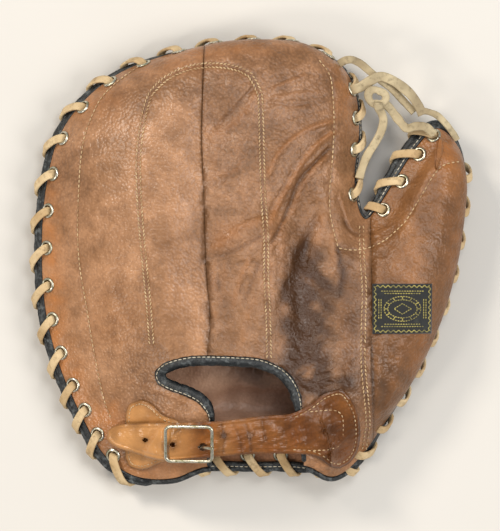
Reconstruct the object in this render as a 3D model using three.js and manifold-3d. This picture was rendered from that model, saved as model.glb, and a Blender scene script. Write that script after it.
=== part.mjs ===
// A vintage first baseman mitt for the left hand, lying palm down with its back up.
// Millimetres, +Z up, fingers towards +Y, thumb towards +X. It rests on the padded rim of its palm at z = 0.
import * as THREE from 'three';
import { mergeVertices } from 'three/addons/utils/BufferGeometryUtils.js';
import Module from 'manifold-3d';

const wasm = await Module();
wasm.setup();

// Overall form
const mittWidth = 264;
const mittLength = 271;
const crownHeight = 60;
const pocketDepth = 12;
const spineHalfWidth = 9;

// Leather and padding
const backLeather = 2.2;
const palmLeather = 2.6;
const palmPadding = 9;
const liningLeather = 1.2;
const clearance = 0.3;

// Laced edge: a flange of back and palm leather with a black welt outside it
const flangeWidth = 9.4;
const rimInset = 22;
const rimWidth = 12;
const rimStep = 2.5;
const grooveWidth = 4.5;
const weltWidth = 6.4;
const weltGap = 0.45;
const holeInset = 4.5;
const holeRadius = 3.3;
const eyeletRadius = 4.5;
const eyeletHeight = 0.9;
const eyeletSeat = 0.8;
const eyeletSides = 6;
const laceWidth = 4.6;
const laceThickness = 2.1;
const laceClearance = 0.4;
const laceBend = 1.3;
const laceEase = 1.1;
const lowerEase = 0.5;

// Hand opening, wrist strap and buckle
const bindingRadius = 3.3;
const flapBindingRadius = 1.6;
const strapThickness = 2.6;
const strapHoleRadius = 1.5;
const prongHoleRadius = 2.8;
const patchThickness = 2;
const strapLift = 4.4;
const buckleLength = 30.6;
const buckleHeight = 25;
const buckleWire = 1.9;
const buckleRise = 1.2;
const prongTail = 3.6;
const prongTip = 1.2;
const prongRise = 2;
const prongEase = 0.2;
const labelWidth = 36;
const labelHeight = 30;
const labelThickness = 0.7;

// Edge of the leather, counterclockwise from the finger corner beside the web.
// across and along are shares of the width and length from the middle, rise is a share of the crown height,
// slope is the tilt of the flange in degrees, lift is how far the back stands over the palm at the wrist,
// inset is how far the palm lies inside the back, welt is a share of the welt's width, and spine is the
// place on the spine that the profile runs to.
const edgeColumns = ['across', 'along', 'rise', 'slope', 'lift', 'inset', 'welt', 'spine'];
const edgeRows = [
  [0.192, 0.437, 0.34, 78, 0, 0, 0.6, 0],
  [0.119, 0.475, 0.29, 92, 0, 0, 0.8, 0],
  [0.022, 0.484, 0.27, 94, 0, 0, 1, 0],
  [-0.085, 0.477, 0.26, 92, 0, 0, 1, 0.01],
  [-0.199, 0.453, 0.26, 78, 0, 0, 1, 0.03],
  [-0.306, 0.413, 0.27, 64, 0, 0, 1, 0.06],
  [-0.388, 0.349, 0.28, 52, 0, 0, 1, 0.1],
  [-0.442, 0.269, 0.28, 46, 0, 0, 1, 0.14],
  [-0.47, 0.158, 0.28, 41, 0, 0, 1, 0.17],
  [-0.479, 0.029, 0.28, 38, 0, 0, 1, 0.21],
  [-0.471, -0.108, 0.28, 34, 0, 0, 1, 0.26],
  [-0.438, -0.236, 0.28, 30, 0, 0, 1, 0.31],
  [-0.384, -0.354, 0.29, 27, 0, 0, 1, 0.35],
  [-0.336, -0.432, 0.3, 26, 0, 0, 1, 0.37],
  [-0.268, -0.477, 0.3, 26, 0, -0.006, 0.9, 0.38],
  [-0.184, -0.48, 0.3, 25, 0.24, 0.018, 0.9, 0.39],
  [-0.107, -0.453, 0.3, 24, 0.38, 0.006, 1, 0.41],
  [0.006, -0.448, 0.3, 22, 0.43, 0, 1, 0.44],
  [0.117, -0.45, 0.3, 24, 0.38, 0, 1, 0.48],
  [0.182, -0.475, 0.3, 32, 0.24, 0.018, 0.9, 0.51],
  [0.237, -0.44, 0.3, 50, 0, -0.006, 0.9, 0.53],
  [0.295, -0.36, 0.28, 76, 0, 0, 0.9, 0.55],
  [0.357, -0.267, 0.27, 90, 0, 0, 0.9, 0.6],
  [0.414, -0.141, 0.26, 98, 0, 0, 0.9, 0.71],
  [0.452, -0.02, 0.26, 98, 0, 0, 0.9, 0.8],
  [0.473, 0.098, 0.26, 96, 0, 0, 0.9, 0.9],
  [0.481, 0.186, 0.28, 90, 0, 0, 0.9, 0.98],
  [0.467, 0.249, 0.32, 74, 0, 0, 0.9, 1],
  [0.424, 0.292, 0.38, 40, 0, 0, 1.1, 1],
  [0.381, 0.257, 0.42, 26, 0, 0, 1.25, 1],
  [0.331, 0.184, 0.45, 24, 0, 0, 1.2, 0.96],
  [0.288, 0.118, 0.45, 28, 0, 0, 0.8, 0.88],
  [0.258, 0.09, 0.44, 40, 0, 0, 0.35, 0.62],
  [0.236, 0.121, 0.42, 52, 0, 0, 0.4, 0.45],
  [0.228, 0.198, 0.39, 58, 0, 0, 0.45, 0.3],
  [0.238, 0.291, 0.37, 58, 0, 0, 0.5, 0.18],
  [0.228, 0.379, 0.36, 64, 0, 0, 0.5, 0.08],
];

// Spine below the crown, from the fingers round the heel of the hand to the thumb tip
// half is a share of the spine's half width
const spineColumns = ['across', 'along', 'crown', 'pocket', 'half'];
const spineRows = [
  [-0.045, 0.3, 0.82, 0.8, 1],
  [-0.1, 0.16, 0.92, 1, 1],
  [-0.115, -0.05, 1, 1, 1],
  [-0.065, -0.2, 0.99, 0.7, 1],
  [0.1, -0.235, 0.93, 0.5, 0.8],
  [0.265, -0.18, 0.86, 0.3, 0.5],
  [0.345, -0.06, 0.83, 0.2, 0.4],
  [0.385, 0.08, 0.76, 0.1, 0.33],
  [0.405, 0.17, 0.68, 0, 0.33],
];

// Main dents and folds of the back: a soft ridge (or with a minus sign a valley) from one point to another.
// width is a share of the mitt's width, height a share of the crown height.
const foldColumns = ['fromAcross', 'fromAlong', 'toAcross', 'toAlong', 'width', 'height'];
const foldRows = [
  [0.12, 0.1, 0.13, -0.2, 0.06, -0.12],
  [0.185, 0.308, 0.042, 0.222, 0.03, 0.05],
  [0.17, 0.25, 0.06, 0.11, 0.03, -0.05],
  [-0.09, 0.33, -0.1, -0.1, 0.035, -0.045],
  [0.03, 0.06, -0.05, 0.0, 0.03, 0.04],
  [0.21, 0.03, 0.22, -0.33, 0.03, 0.035],
];

// Rows of a table as objects that carry its column names
const table = (columns, rows) => rows.map((row) => Object.fromEntries(columns.map((name, i) => [name, row[i]])));

// The same table read as smooth curves of its columns
function tableCurves(columns, rows, closed) {
  const curves = {};
  columns.forEach((name, i) => {
    const points = rows.map((row) => new THREE.Vector3(row[i], 0, 0));
    curves[name] = new THREE.CatmullRomCurve3(points, closed, 'catmullrom', 0.5);
  });
  return (t) => Object.fromEntries(columns.map((name) => [name, curves[name].getPoint(t).x]));
}

const edgeAt = tableCurves(edgeColumns, edgeRows, true);
const spineAt = tableCurves(spineColumns, spineRows, false);
const up = new THREE.Vector3(0, 0, 1);
const wrap = (place) => ((place % 1) + 1) % 1;
const plan = (row) => new THREE.Vector3(row.across * mittWidth, row.along * mittLength, 0);
const unit = (v) => v.clone().normalize();

// Height of all folds at a point of the back
function foldHeight(x, y) {
  let sum = 0;
  for (const fold of table(foldColumns, foldRows)) {
    const a = new THREE.Vector2(fold.fromAcross * mittWidth, fold.fromAlong * mittLength);
    const b = new THREE.Vector2(fold.toAcross * mittWidth, fold.toAlong * mittLength);
    const along = b.clone().sub(a);
    const reach = new THREE.Vector2(x, y).sub(a);
    const t = THREE.MathUtils.clamp(reach.dot(along) / along.lengthSq(), 0, 1);
    const off = reach.sub(along.multiplyScalar(t)).length();
    sum += fold.height * crownHeight * Math.exp(-((off / (fold.width * mittWidth)) ** 2));
  }
  return sum;
}

// The frame at one place of the edge table: the leather's edge, the way inwards up the slope, and the way out
// of the flange. layer is back or palm, which part from each other at the wrist.
function edgeFrame(layer, place) {
  const row = edgeAt(wrap(place));
  const before = plan(edgeAt(wrap(place - 0.004)));
  const after = plan(edgeAt(wrap(place + 0.004)));
  const tangent = unit(after.sub(before));
  const inward = new THREE.Vector3(-tangent.y, tangent.x, 0);
  const slope = THREE.MathUtils.degToRad(row.slope);
  const edge = plan(row);
  edge.z = row.rise * crownHeight;
  if (layer === 'back') {
    edge.z += Math.max(row.lift, 0) * crownHeight;
  } else {
    edge.addScaledVector(inward, Math.max(row.inset, 0) * mittLength);
  }
  const into = inward.clone().multiplyScalar(Math.cos(slope)).addScaledVector(up, Math.sin(slope));
  const out = inward.clone().multiplyScalar(-Math.sin(slope)).addScaledVector(up, Math.cos(slope));
  const spine = spineAt(THREE.MathUtils.clamp(row.spine, 0, 1));
  const centre = plan(spine);
  const side = unit(edge.clone().setZ(0).sub(centre));
  const goal = centre.addScaledVector(side, spine.half * spineHalfWidth);
  return { place, edge, tangent, into, out, goal, spine, welt: row.welt, lift: Math.max(row.lift, 0) };
}

const halfGap = clearance / 2;
const local = (frame, into, out) =>
  frame.edge.clone().addScaledVector(frame.into, into).addScaledVector(frame.out, out);

// The edge's arc length against its place in the table
const rulerSteps = 740;
const rulerArcs = [0];
for (let i = 1; i <= rulerSteps; i += 1) {
  const step = plan(edgeAt(wrap(i / rulerSteps))).distanceTo(plan(edgeAt((i - 1) / rulerSteps)));
  rulerArcs.push(rulerArcs[i - 1] + step);
}
const edgeLength = rulerArcs[rulerSteps];
function placeOfArc(arc) {
  const turns = Math.floor(arc / edgeLength);
  const rest = arc - turns * edgeLength;
  let i = 0;
  while (i + 1 < rulerSteps && rulerArcs[i + 1] < rest) {
    i += 1;
  }
  return turns + (i + (rest - rulerArcs[i]) / (rulerArcs[i + 1] - rulerArcs[i])) / rulerSteps;
}

// Arc at which the hole of a lace lies nearest to a point of the plan
function arcOfHole(target) {
  let best = 0;
  let least = Infinity;
  for (let i = 0; i < rulerSteps; i += 1) {
    const hole = local(edgeFrame('palm', i / rulerSteps), holeInset, 0).setZ(0);
    const distance = hole.distanceTo(target);
    if (distance < least) {
      least = distance;
      best = rulerArcs[i];
    }
  }
  return best;
}

// A point on the plan from shares of the width and length
const at = (across, along) => new THREE.Vector3(across * mittWidth, along * mittLength, 0);

// Runs of lace holes: each starts at the hole nearest to a point and has so many equal steps to the next one.
// ringed says whether the holes of the run have eyelets.
const runColumns = ['across', 'along', 'steps', 'ringed'];
const edgeRuns = [
  [0.16, 0.442, 12, 1],
  [-0.468, -0.05, 3, 1],
  [-0.405, -0.275, 3, 1],
  [-0.308, -0.42, 1, 1],
  [-0.219, -0.465, 1, 0],
  [-0.142, -0.455, 1, 0],
  [-0.09, -0.43, 1, 0],
  [-0.01, -0.43, 1, 1],
  [0.065, -0.43, 1, 1],
  [0.14, -0.44, 1, 0],
  [0.183, -0.457, 1, 0],
  [0.236, -0.428, 1, 0],
  [0.283, -0.372, 9, 0],
];
const edgeRunEnd = [0.455, 0.25];
const thumbHoles = [
  [0.42, 0.272],
  [0.385, 0.236],
  [0.349, 0.172],
  [0.304, 0.112],
];
const fingerHoles = [
  [0.23, 0.147],
  [0.231, 0.248],
  [0.226, 0.316],
  [0.221, 0.381],
];

function placeRuns() {
  const runs = table(runColumns, edgeRuns);
  const starts = [...runs.map((run) => at(run.across, run.along)), at(...edgeRunEnd)].map(arcOfHole);
  const holes = [];
  runs.forEach((run, i) => {
    const span = (starts[i + 1] - starts[i] + edgeLength) % edgeLength;
    for (let k = 0; k < run.steps; k += 1) {
      holes.push({ arc: starts[i] + (span * k) / run.steps, ringed: run.ringed === 1 });
    }
  });
  return holes;
}

const edgeHoles = placeRuns();
const webHoles = (rows) => rows.map(([across, along]) => ({ arc: arcOfHole(at(across, along)), ringed: true }));
const thumbWebHoles = webHoles(thumbHoles);
const fingerWebHoles = webHoles(fingerHoles);
const allHoles = [...edgeHoles, ...thumbWebHoles, ...fingerWebHoles];

// Stations of the leather lie halfway between lace holes, or at the sharp corners of the edge table, so that
// each hole is in one flat face of the flange
const cornerRows = [0, 14, 15, 19, 20, 27, 27.5, 28, 31.5, 32, 32.5];
function edgeStations() {
  const corners = cornerRows.map((row) => row / edgeRows.length);
  const holes = allHoles.map((hole) => wrap(placeOfArc(hole.arc))).sort((a, b) => a - b);
  const places = [];
  holes.forEach((hole, i) => {
    const next = i + 1 < holes.length ? holes[i + 1] : holes[0] + 1;
    const between = corners.map((c) => (c < hole ? c + 1 : c)).filter((c) => c > hole && c < next);
    places.push(...(between.length > 0 ? between : [(hole + next) / 2]));
  });
  return [...new Set(places.map(wrap))].sort((a, b) => a - b);
}

const stationPlaces = edgeStations();
const palmFrames = stationPlaces.map((place) => edgeFrame('palm', place));
const backFrames = stationPlaces.map((place) => edgeFrame('back', place));

// The frame on the faceted edge between its stations
function between(frames, place) {
  const count = frames.length;
  let i = stationPlaces.findIndex((station) => station > place) - 1;
  if (i < 0) {
    i = count - 1;
  }
  const a = frames[i];
  const b = frames[(i + 1) % count];
  const t = wrap(place - a.place) / wrap(b.place - a.place);
  const mix = (name) => a[name].clone().lerp(b[name], t);
  return {
    edge: mix('edge'),
    tangent: unit(b.edge.clone().sub(a.edge)),
    into: unit(mix('into')),
    out: unit(mix('out')),
    welt: THREE.MathUtils.lerp(a.welt, b.welt, t),
    lift: THREE.MathUtils.lerp(a.lift, b.lift, t),
  };
}
const frameAt = (arc) => between(palmFrames, wrap(placeOfArc(arc)));

// Profile of the back's outer face: the flange, then one cubic curve up to the level crown at the spine
const crownSteps = [0.16, 0.38, 0.66, 1];
function backProfile(frame) {
  const top = halfGap + backLeather;
  const outer = [local(frame, 0, top), local(frame, flangeWidth, top)];
  const start = outer[1];
  const goal = frame.goal.clone().setZ(frame.spine.crown * crownHeight);
  const run = goal.clone().sub(start).setZ(0);
  const reach = run.length();
  const climb = Math.max(goal.z - start.z, 1);
  const steep = Math.max(frame.into.z, 0.35);
  const first = start.clone().addScaledVector(frame.into, Math.min(0.35 * reach, (0.6 * climb) / steep));
  const last = goal.clone().addScaledVector(unit(run), -0.5 * reach);
  const curve = new THREE.CubicBezierCurve3(start, first, last, goal);
  for (const t of crownSteps) {
    const point = curve.getPoint(t);
    point.z += foldHeight(point.x, point.y) * Math.min(1, 2.2 * t);
    outer.push(point);
  }
  return outer;
}

// Profile of the palm: the flange, a groove, the padded rim that rests on the table, and the pocket
function palmProfile(frame) {
  const flangeTop = [local(frame, 0, -halfGap), local(frame, flangeWidth, -halfGap)];
  const flangeLow = [local(frame, 0, -halfGap - palmLeather), local(frame, flangeWidth, -halfGap - palmLeather)];
  const start = flangeTop[1];
  const run = frame.goal.clone().sub(start).setZ(0);
  const reach = run.length();
  const h = unit(run);
  const steep = frame.into.z;
  const level = 1 - steep;
  const groove = grooveWidth + (palmLeather + laceThickness + 2 * laceClearance) * steep;
  const rimStart = Math.max(Math.min(rimInset, 0.45 * reach), groove + rimStep);
  const rimEnd = Math.max(Math.min(rimInset + rimWidth, 0.75 * reach), rimStart + rimStep);
  const pocket = frame.spine.pocket * pocketDepth;
  const at = (r, z) => start.clone().setZ(z).addScaledVector(h, r);
  const shoulder = (rimEnd + reach) / 2;
  const low = [
    ...flangeLow,
    at(groove, flangeLow[1].z - 3 * level),
    at(rimStart, 0),
    at(rimEnd, 0),
    at(shoulder, 0.75 * pocket),
    at(reach, pocket),
  ];
  const high = [
    ...flangeTop,
    at(groove + 1, start.z - 1.5 * level + palmLeather * steep),
    at(rimStart + 2, palmPadding),
    at(rimEnd, palmPadding),
    at(shoulder, 0.75 * pocket + palmPadding),
    at(reach, pocket + palmPadding),
  ];
  return { low, high };
}

// Outward normals of a face that is given as rings of points round the edge
function faceNormals(profiles, frames) {
  return profiles.map((profile, i) => {
    const before = profiles[(i + profiles.length - 1) % profiles.length];
    const after = profiles[(i + 1) % profiles.length];
    return profile.map((point, k) => {
      if (k < 2) {
        return frames[i].out.clone();
      }
      const round = after[k].clone().sub(before[k]);
      const inwards = profile[Math.min(k + 1, profile.length - 1)].clone().sub(profile[k - 1]);
      return unit(round.cross(inwards));
    });
  });
}

// A closed mesh as a solid
function solidOf(positions, triangles) {
  const vertProperties = new Float32Array(positions);
  const triVerts = new Uint32Array(triangles);
  return new wasm.Manifold(new wasm.Mesh({ numProp: 3, vertProperties, triVerts }));
}

// A solid between an upper and a lower face, both rings of points round the edge, closed at the middle
function shellSolid(upper, lower) {
  const rings = upper.length;
  const depth = upper[0].length;
  const positions = [];
  const triangles = [];
  for (const face of [upper, lower]) {
    for (const profile of face) {
      for (const point of profile) {
        positions.push(point.x, point.y, point.z);
      }
    }
  }
  const id = (face, i, k) => (face * rings + (i % rings)) * depth + k;
  const quad = (a, b, c, d) => triangles.push(a, b, c, a, c, d);
  for (let i = 0; i < rings; i += 1) {
    for (let k = 0; k + 1 < depth; k += 1) {
      quad(id(0, i, k), id(0, i + 1, k), id(0, i + 1, k + 1), id(0, i, k + 1));
      quad(id(1, i, k), id(1, i, k + 1), id(1, i + 1, k + 1), id(1, i + 1, k));
    }
    quad(id(1, i, 0), id(1, i + 1, 0), id(0, i + 1, 0), id(0, i, 0));
  }
  [upper, lower].forEach((face, f) => {
    const ring = face.map((profile) => new THREE.Vector2(profile[depth - 1].x, profile[depth - 1].y));
    for (const [a, b, c] of THREE.ShapeUtils.triangulateShape(ring, [])) {
      const area = ring[b].clone().sub(ring[a]).cross(ring[c].clone().sub(ring[a]));
      const facesUp = area > 0;
      const order = facesUp === (f === 0) ? [a, b, c] : [a, c, b];
      triangles.push(...order.map((i) => id(f, i, depth - 1)));
    }
  });
  return solidOf(positions, triangles);
}

// A three.js geometry as a solid
function solidFrom(geometry) {
  geometry.deleteAttribute('normal');
  geometry.deleteAttribute('uv');
  const merged = mergeVertices(geometry, 1e-4);
  return solidOf(merged.attributes.position.array, merged.index.array);
}

// An upright prism over a plan outline
function prism(outline, low = -20, high = 140) {
  const shape = new THREE.Shape(outline.map((p) => new THREE.Vector2(p.x, p.y)));
  const geometry = new THREE.ExtrudeGeometry(shape, { depth: high - low, bevelEnabled: false });
  geometry.translate(0, 0, low);
  return solidFrom(geometry);
}

const backOuter = backFrames.map(backProfile);
const backNormals = faceNormals(backOuter, backFrames);
const lift = (distance) => {
  const height = typeof distance === 'function' ? distance : () => distance;
  return backOuter.map((profile, i) =>
    profile.map((point, k) => point.clone().addScaledVector(backNormals[i][k], height(point))));
};
const palmProfiles = palmFrames.map(palmProfile);
const palmLow = palmProfiles.map((profile) => profile.low);
const palmHigh = palmProfiles.map((profile) => profile.high);

// A layer of leather that follows the back's outer face, from one distance above it to another
const backLayer = (from, to, outline) => shellSolid(lift(to), lift(from)).intersect(prism(outline));

// A smooth plan curve through shares, as evenly spaced points
function planCurve(shares, count) {
  const points = shares.map(([across, along]) => at(across, along));
  return new THREE.CatmullRomCurve3(points, false, 'centripetal').getSpacedPoints(count);
}

// The same curve moved sideways, to its left where the distance is above zero
function offsetCurve(points, distance) {
  return points.map((point, i) => {
    const before = points[Math.max(i - 1, 0)];
    const after = points[Math.min(i + 1, points.length - 1)];
    const along = unit(after.clone().sub(before));
    const reach = typeof distance === 'function' ? distance(i / (points.length - 1)) : distance;
    return point.clone().add(new THREE.Vector3(-along.y, along.x, 0).multiplyScalar(reach));
  });
}

// A section carried along stations that hold a point and two axes. Where it may twist, each side is split along
// the diagonal that bulges outwards, so that a lace never crosses itself.
function sweepSolid(stations, section, closed = false, twists = false) {
  const positions = [];
  const triangles = [];
  const n = section.length;
  const rings = stations.map((station) => {
    const scale = station.scale ?? 1;
    return section.map(([a, b]) => {
      const point = station.point.clone();
      point.addScaledVector(station.side, a * scale).addScaledVector(station.over, b * scale);
      positions.push(point.x, point.y, point.z);
      return point;
    });
  });
  const middleOf = (points) =>
    points.reduce((sum, point) => sum.add(point), new THREE.Vector3()).divideScalar(points.length);
  const spans = closed ? stations.length : stations.length - 1;
  for (let i = 0; i < spans; i += 1) {
    const j = (i + 1) % stations.length;
    const middle = middleOf([...rings[i], ...rings[j]]);
    for (let k = 0; k < n; k += 1) {
      const l = (k + 1) % n;
      const outer = middleOf([rings[i][k], rings[j][l]]).distanceTo(middle);
      const inner = middleOf([rings[i][l], rings[j][k]]).distanceTo(middle);
      if (!twists || outer >= inner) {
        triangles.push(i * n + k, i * n + l, j * n + l, i * n + k, j * n + l, j * n + k);
      } else {
        triangles.push(i * n + k, i * n + l, j * n + k, i * n + l, j * n + l, j * n + k);
      }
    }
  }
  if (!closed) {
    const end = (stations.length - 1) * n;
    for (let k = 1; k + 1 < n; k += 1) {
      triangles.push(0, k + 1, k, end, end + k, end + k + 1);
    }
  }
  const solid = solidOf(positions, triangles);
  if (solid.volume() > 0) {
    return solid;
  }
  for (let i = 0; i < triangles.length; i += 3) {
    [triangles[i + 1], triangles[i + 2]] = [triangles[i + 2], triangles[i + 1]];
  }
  return solidOf(positions, triangles);
}

// Stations of a flat lace along points. Its width keeps to the given hint, and each bend is mitred so that
// the stretch before it (or after it, where lead says so) keeps its true section.
function laceStations(points, hints, lead = () => false) {
  const last = points.length - 1;
  return points.map((point, i) => {
    const before = unit(points[Math.max(i, 1)].clone().sub(points[Math.max(i, 1) - 1]));
    const after = unit(points[Math.min(i + 1, last)].clone().sub(points[Math.min(i + 1, last) - 1]));
    const bisector = unit(before.clone().add(after));
    const along = lead(i) ? after : before;
    const hint = typeof hints === 'function' ? hints(i) : hints[i];
    const side = unit(hint.clone().addScaledVector(along, -hint.dot(along)));
    const over = along.clone().cross(side);
    const lean = Math.max(along.dot(bisector), 0.5);
    side.addScaledVector(along, -side.dot(bisector) / lean);
    over.addScaledVector(along, -over.dot(bisector) / lean);
    return { point, side, over };
  });
}

const laceSection = (width, thickness) => [
  [-width / 2, -thickness / 2],
  [width / 2, -thickness / 2],
  [width / 2, thickness / 2],
  [-width / 2, thickness / 2],
];

const ringSection = (radius, sides) => {
  const points = [];
  for (let i = 0; i < sides; i += 1) {
    const angle = (2 * Math.PI * i) / sides;
    points.push([radius * Math.cos(angle), radius * Math.sin(angle)]);
  }
  return points;
};

// Top of the flange at a place: the back leather, or the palm alone where the back has lifted off it
const joined = (frame) => frame.lift < 0.03;
const flangeTop = (frame) => (joined(frame) ? halfGap + backLeather : -halfGap);
const flangeLow = -halfGap - palmLeather;

// A punch through the flange, square to it
function punch(hole, sides, from, to) {
  const frame = frameAt(hole.arc);
  const stations = [from, to].map((out) => ({
    point: local(frame, holeInset, out),
    side: frame.tangent,
    over: frame.into,
  }));
  return sweepSolid(stations, ringSection(holeRadius * (sides === 4 ? 1.25 : 1), sides));
}

const punchReach = 2;
const palmPunches = allHoles.map((hole) => punch(hole, 4, flangeLow - punchReach, punchReach));
const backPunches = allHoles
  .filter((hole) => joined(frameAt(hole.arc)))
  .map((hole) => punch(hole, 6, -punchReach, halfGap + backLeather + punchReach));

// Lace round the edge: up through a hole, over the flange and slanting along it, round the welt, and back
// below to the next hole
function whipPoints(holes, start, end) {
  const points = [];
  const frames = [];
  const over = laceThickness / 2 + laceClearance;
  const add = (arc, into, out) => {
    const frame = frameAt(arc);
    points.push(local(frame, into(frame), out(frame)));
    frames.push(frame);
  };
  const weltTop = halfGap + backLeather + over;
  const ringTop = (frame) => flangeTop(frame) + eyeletSeat + eyeletHeight + over + laceBend;
  const beyond = (frame) => -weltGap - frame.welt * weltWidth - over - laceEase;
  const inHole = () => holeInset;
  const below = () => flangeLow - over - lowerEase;
  const belowHole = () => flangeLow - over - laceBend;
  add(holes[0].arc - start, () => 0, below);
  holes.forEach((hole, i) => {
    const next = i + 1 < holes.length ? holes[i + 1].arc : hole.arc + end;
    const span = (next - hole.arc + edgeLength) % edgeLength;
    add(hole.arc, inHole, belowHole);
    add(hole.arc, inHole, ringTop);
    add(hole.arc + 0.46 * span, beyond, () => weltTop + 0.7);
    add(hole.arc + 0.6 * span, beyond, below);
  });
  // The lace turns halfway between the edge's direction and square to its own slanting run
  const hints = frames.map((frame, i) => {
    const from = Math.min(i - (i % 2), points.length - 2);
    const square = unit(frame.out.clone().cross(points[from + 1].clone().sub(points[from])));
    return square.multiplyScalar(Math.sign(square.dot(frame.tangent))).add(frame.tangent);
  });
  return { points, hints };
}

const whipLace = (holes, start = 8, end = 16) => {
  const { points, hints } = whipPoints(holes, start, end);
  const stations = laceStations(points, hints, (i) => i % 2 === 1);
  return sweepSolid(stations, laceSection(laceWidth, laceThickness), false, true);
};

// A nickel ring on the flange at a hole
function eyelet(hole) {
  const frame = frameAt(hole.arc);
  const ring = [];
  for (let i = 0; i < eyeletSides; i += 1) {
    const angle = (2 * Math.PI * (i + 0.5)) / eyeletSides;
    const side = frame.tangent.clone().multiplyScalar(Math.cos(angle));
    side.addScaledVector(frame.into, Math.sin(angle));
    ring.push({ point: local(frame, holeInset, flangeTop(frame) + eyeletSeat), side, over: frame.out });
  }
  const section = [
    [holeRadius, 0],
    [eyeletRadius, 0],
    [(holeRadius + eyeletRadius) / 2, eyeletHeight],
  ];
  return sweepSolid(ring, section, true);
}

// The black welt: a bead as thick as the flange, outside its edge
function weltSolid() {
  const low = flangeLow + 0.1;
  const high = halfGap + backLeather - 0.1;
  const middle = (low + high) / 2;
  const half = (high - low) / 2;
  const stations = palmFrames.map((frame) => ({
    point: frame.edge.clone().addScaledVector(frame.out, middle),
    side: frame.into.clone().multiplyScalar(frame.welt * weltWidth),
    over: frame.out,
    gap: frame.into,
  }));
  for (const station of stations) {
    station.point.addScaledVector(station.gap, -weltGap);
  }
  const section = [
    [0, -half],
    [0, half],
    [-0.75, half],
    [-1, 0.45 * half],
    [-1, -0.45 * half],
    [-0.75, -half],
  ];
  return sweepSolid(stations, section, true);
}

// Seams of the back and the palm: each panel ends short of the seam line by half a clearance
const buttSeam = planCurve([[-0.11, 0.6], [-0.11, 0.32], [-0.111, 0.15], [-0.105, 0], [-0.1, -0.13], [-0.1, -0.3]], 10);
const palmSeam = planCurve([[-0.11, 0.6], [-0.11, 0.32], [-0.105, 0], [-0.105, -0.3], [-0.116, -0.42], [-0.116, -0.6]], 10);
const thumbSeam = planCurve([[0.262, 0.11], [0.267, 0], [0.27, -0.15], [0.272, -0.3], [0.262, -0.6]], 8);
const farLeft = at(-0.8, 0);
const farRight = at(0.8, 0);
const farTop = at(0, 0.8);
const farBottom = at(0, -0.8);
const leftOfButt = offsetCurve(buttSeam, -halfGap);
const rightOfButt = offsetCurve(buttSeam, halfGap);
const leftOfThumb = offsetCurve(thumbSeam, -halfGap);
const rightOfThumb = offsetCurve(thumbSeam, halfGap);
const corner = (side, end) => new THREE.Vector3(side.x, end.y, 0);

const leftOfSeam = (seam) => [
  ...seam,
  corner(seam[seam.length - 1], farBottom),
  corner(farLeft, farBottom),
  corner(farLeft, farTop),
  corner(seam[0], farTop),
];
const betweenSeams = (left, right) => [
  corner(left[0], farTop),
  ...left,
  corner(left[left.length - 1], farBottom),
  corner(right[right.length - 1], farBottom),
  ...right.slice().reverse(),
  corner(right[0], farTop),
];
const rightRegion = [
  corner(rightOfThumb[0], farTop),
  ...rightOfThumb,
  corner(rightOfThumb[rightOfThumb.length - 1], farBottom),
  corner(farRight, farBottom),
  corner(farRight, farTop),
];

// The hand opening's binding, from the left flap's lower end round the opening to the right flap's lower end
const openingShares = [
  [-0.099, -0.455],
  [-0.098, -0.4],
  [-0.093, -0.343],
  [-0.11, -0.309],
  [-0.142, -0.289],
  [-0.187, -0.273],
  [-0.208, -0.26],
  [-0.207, -0.244],
  [-0.19, -0.232],
  [-0.155, -0.222],
  [-0.11, -0.218],
  [-0.008, -0.222],
  [0.03, -0.23],
  [0.067, -0.249],
  [0.09, -0.277],
  [0.1, -0.305],
  [0.107, -0.34],
  [0.114, -0.395],
  [0.118, -0.445],
];
const openingCurve = planCurve(openingShares, 30);
const thinEnds = (t) => THREE.MathUtils.smoothstep(Math.min(t, 1 - t), 0.12, 0.2);
const bindingAt = (t) => THREE.MathUtils.lerp(flapBindingRadius, bindingRadius, thinEnds(t));

// Heights are read from the whole back before it is cut
const wholeBack = shellSolid(backOuter, lift(-backLeather));

// A solid as a three.js geometry
function geometryOf(solid) {
  const mesh = solid.getMesh();
  const geometry = new THREE.BufferGeometry();
  geometry.setAttribute('position', new THREE.BufferAttribute(new Float32Array(mesh.vertProperties), 3));
  geometry.setIndex(new THREE.BufferAttribute(new Uint32Array(mesh.triVerts), 1));
  geometry.computeVertexNormals();
  return geometry;
}

const backTarget = new THREE.Mesh(geometryOf(wholeBack));
const ray = new THREE.Raycaster();
const backTop = (point) => {
  ray.set(new THREE.Vector3(point.x, point.y, 200), new THREE.Vector3(0, 0, -1));
  const hits = ray.intersectObject(backTarget);
  return hits.length > 0 ? hits[0].point.z : crownHeight / 2;
};

const openingStations = () => {
  const points = openingCurve.map((p) => p.clone().setZ(backTop(p) - backLeather / 2));
  return points.map((point, i) => {
    const along = unit(points[Math.min(i + 1, points.length - 1)].clone().sub(points[Math.max(i - 1, 0)]));
    const side = unit(along.clone().cross(up));
    return { point, side, over: side.clone().cross(along), scale: bindingAt(i / (points.length - 1)) };
  });
};
const openingCut = () => {
  const outer = offsetCurve(openingCurve, (t) => bindingAt(t) + clearance);
  const first = outer[0];
  const last = outer[outer.length - 1];
  return prism([corner(first, farBottom), ...outer, corner(last, farBottom)]);
};

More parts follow.
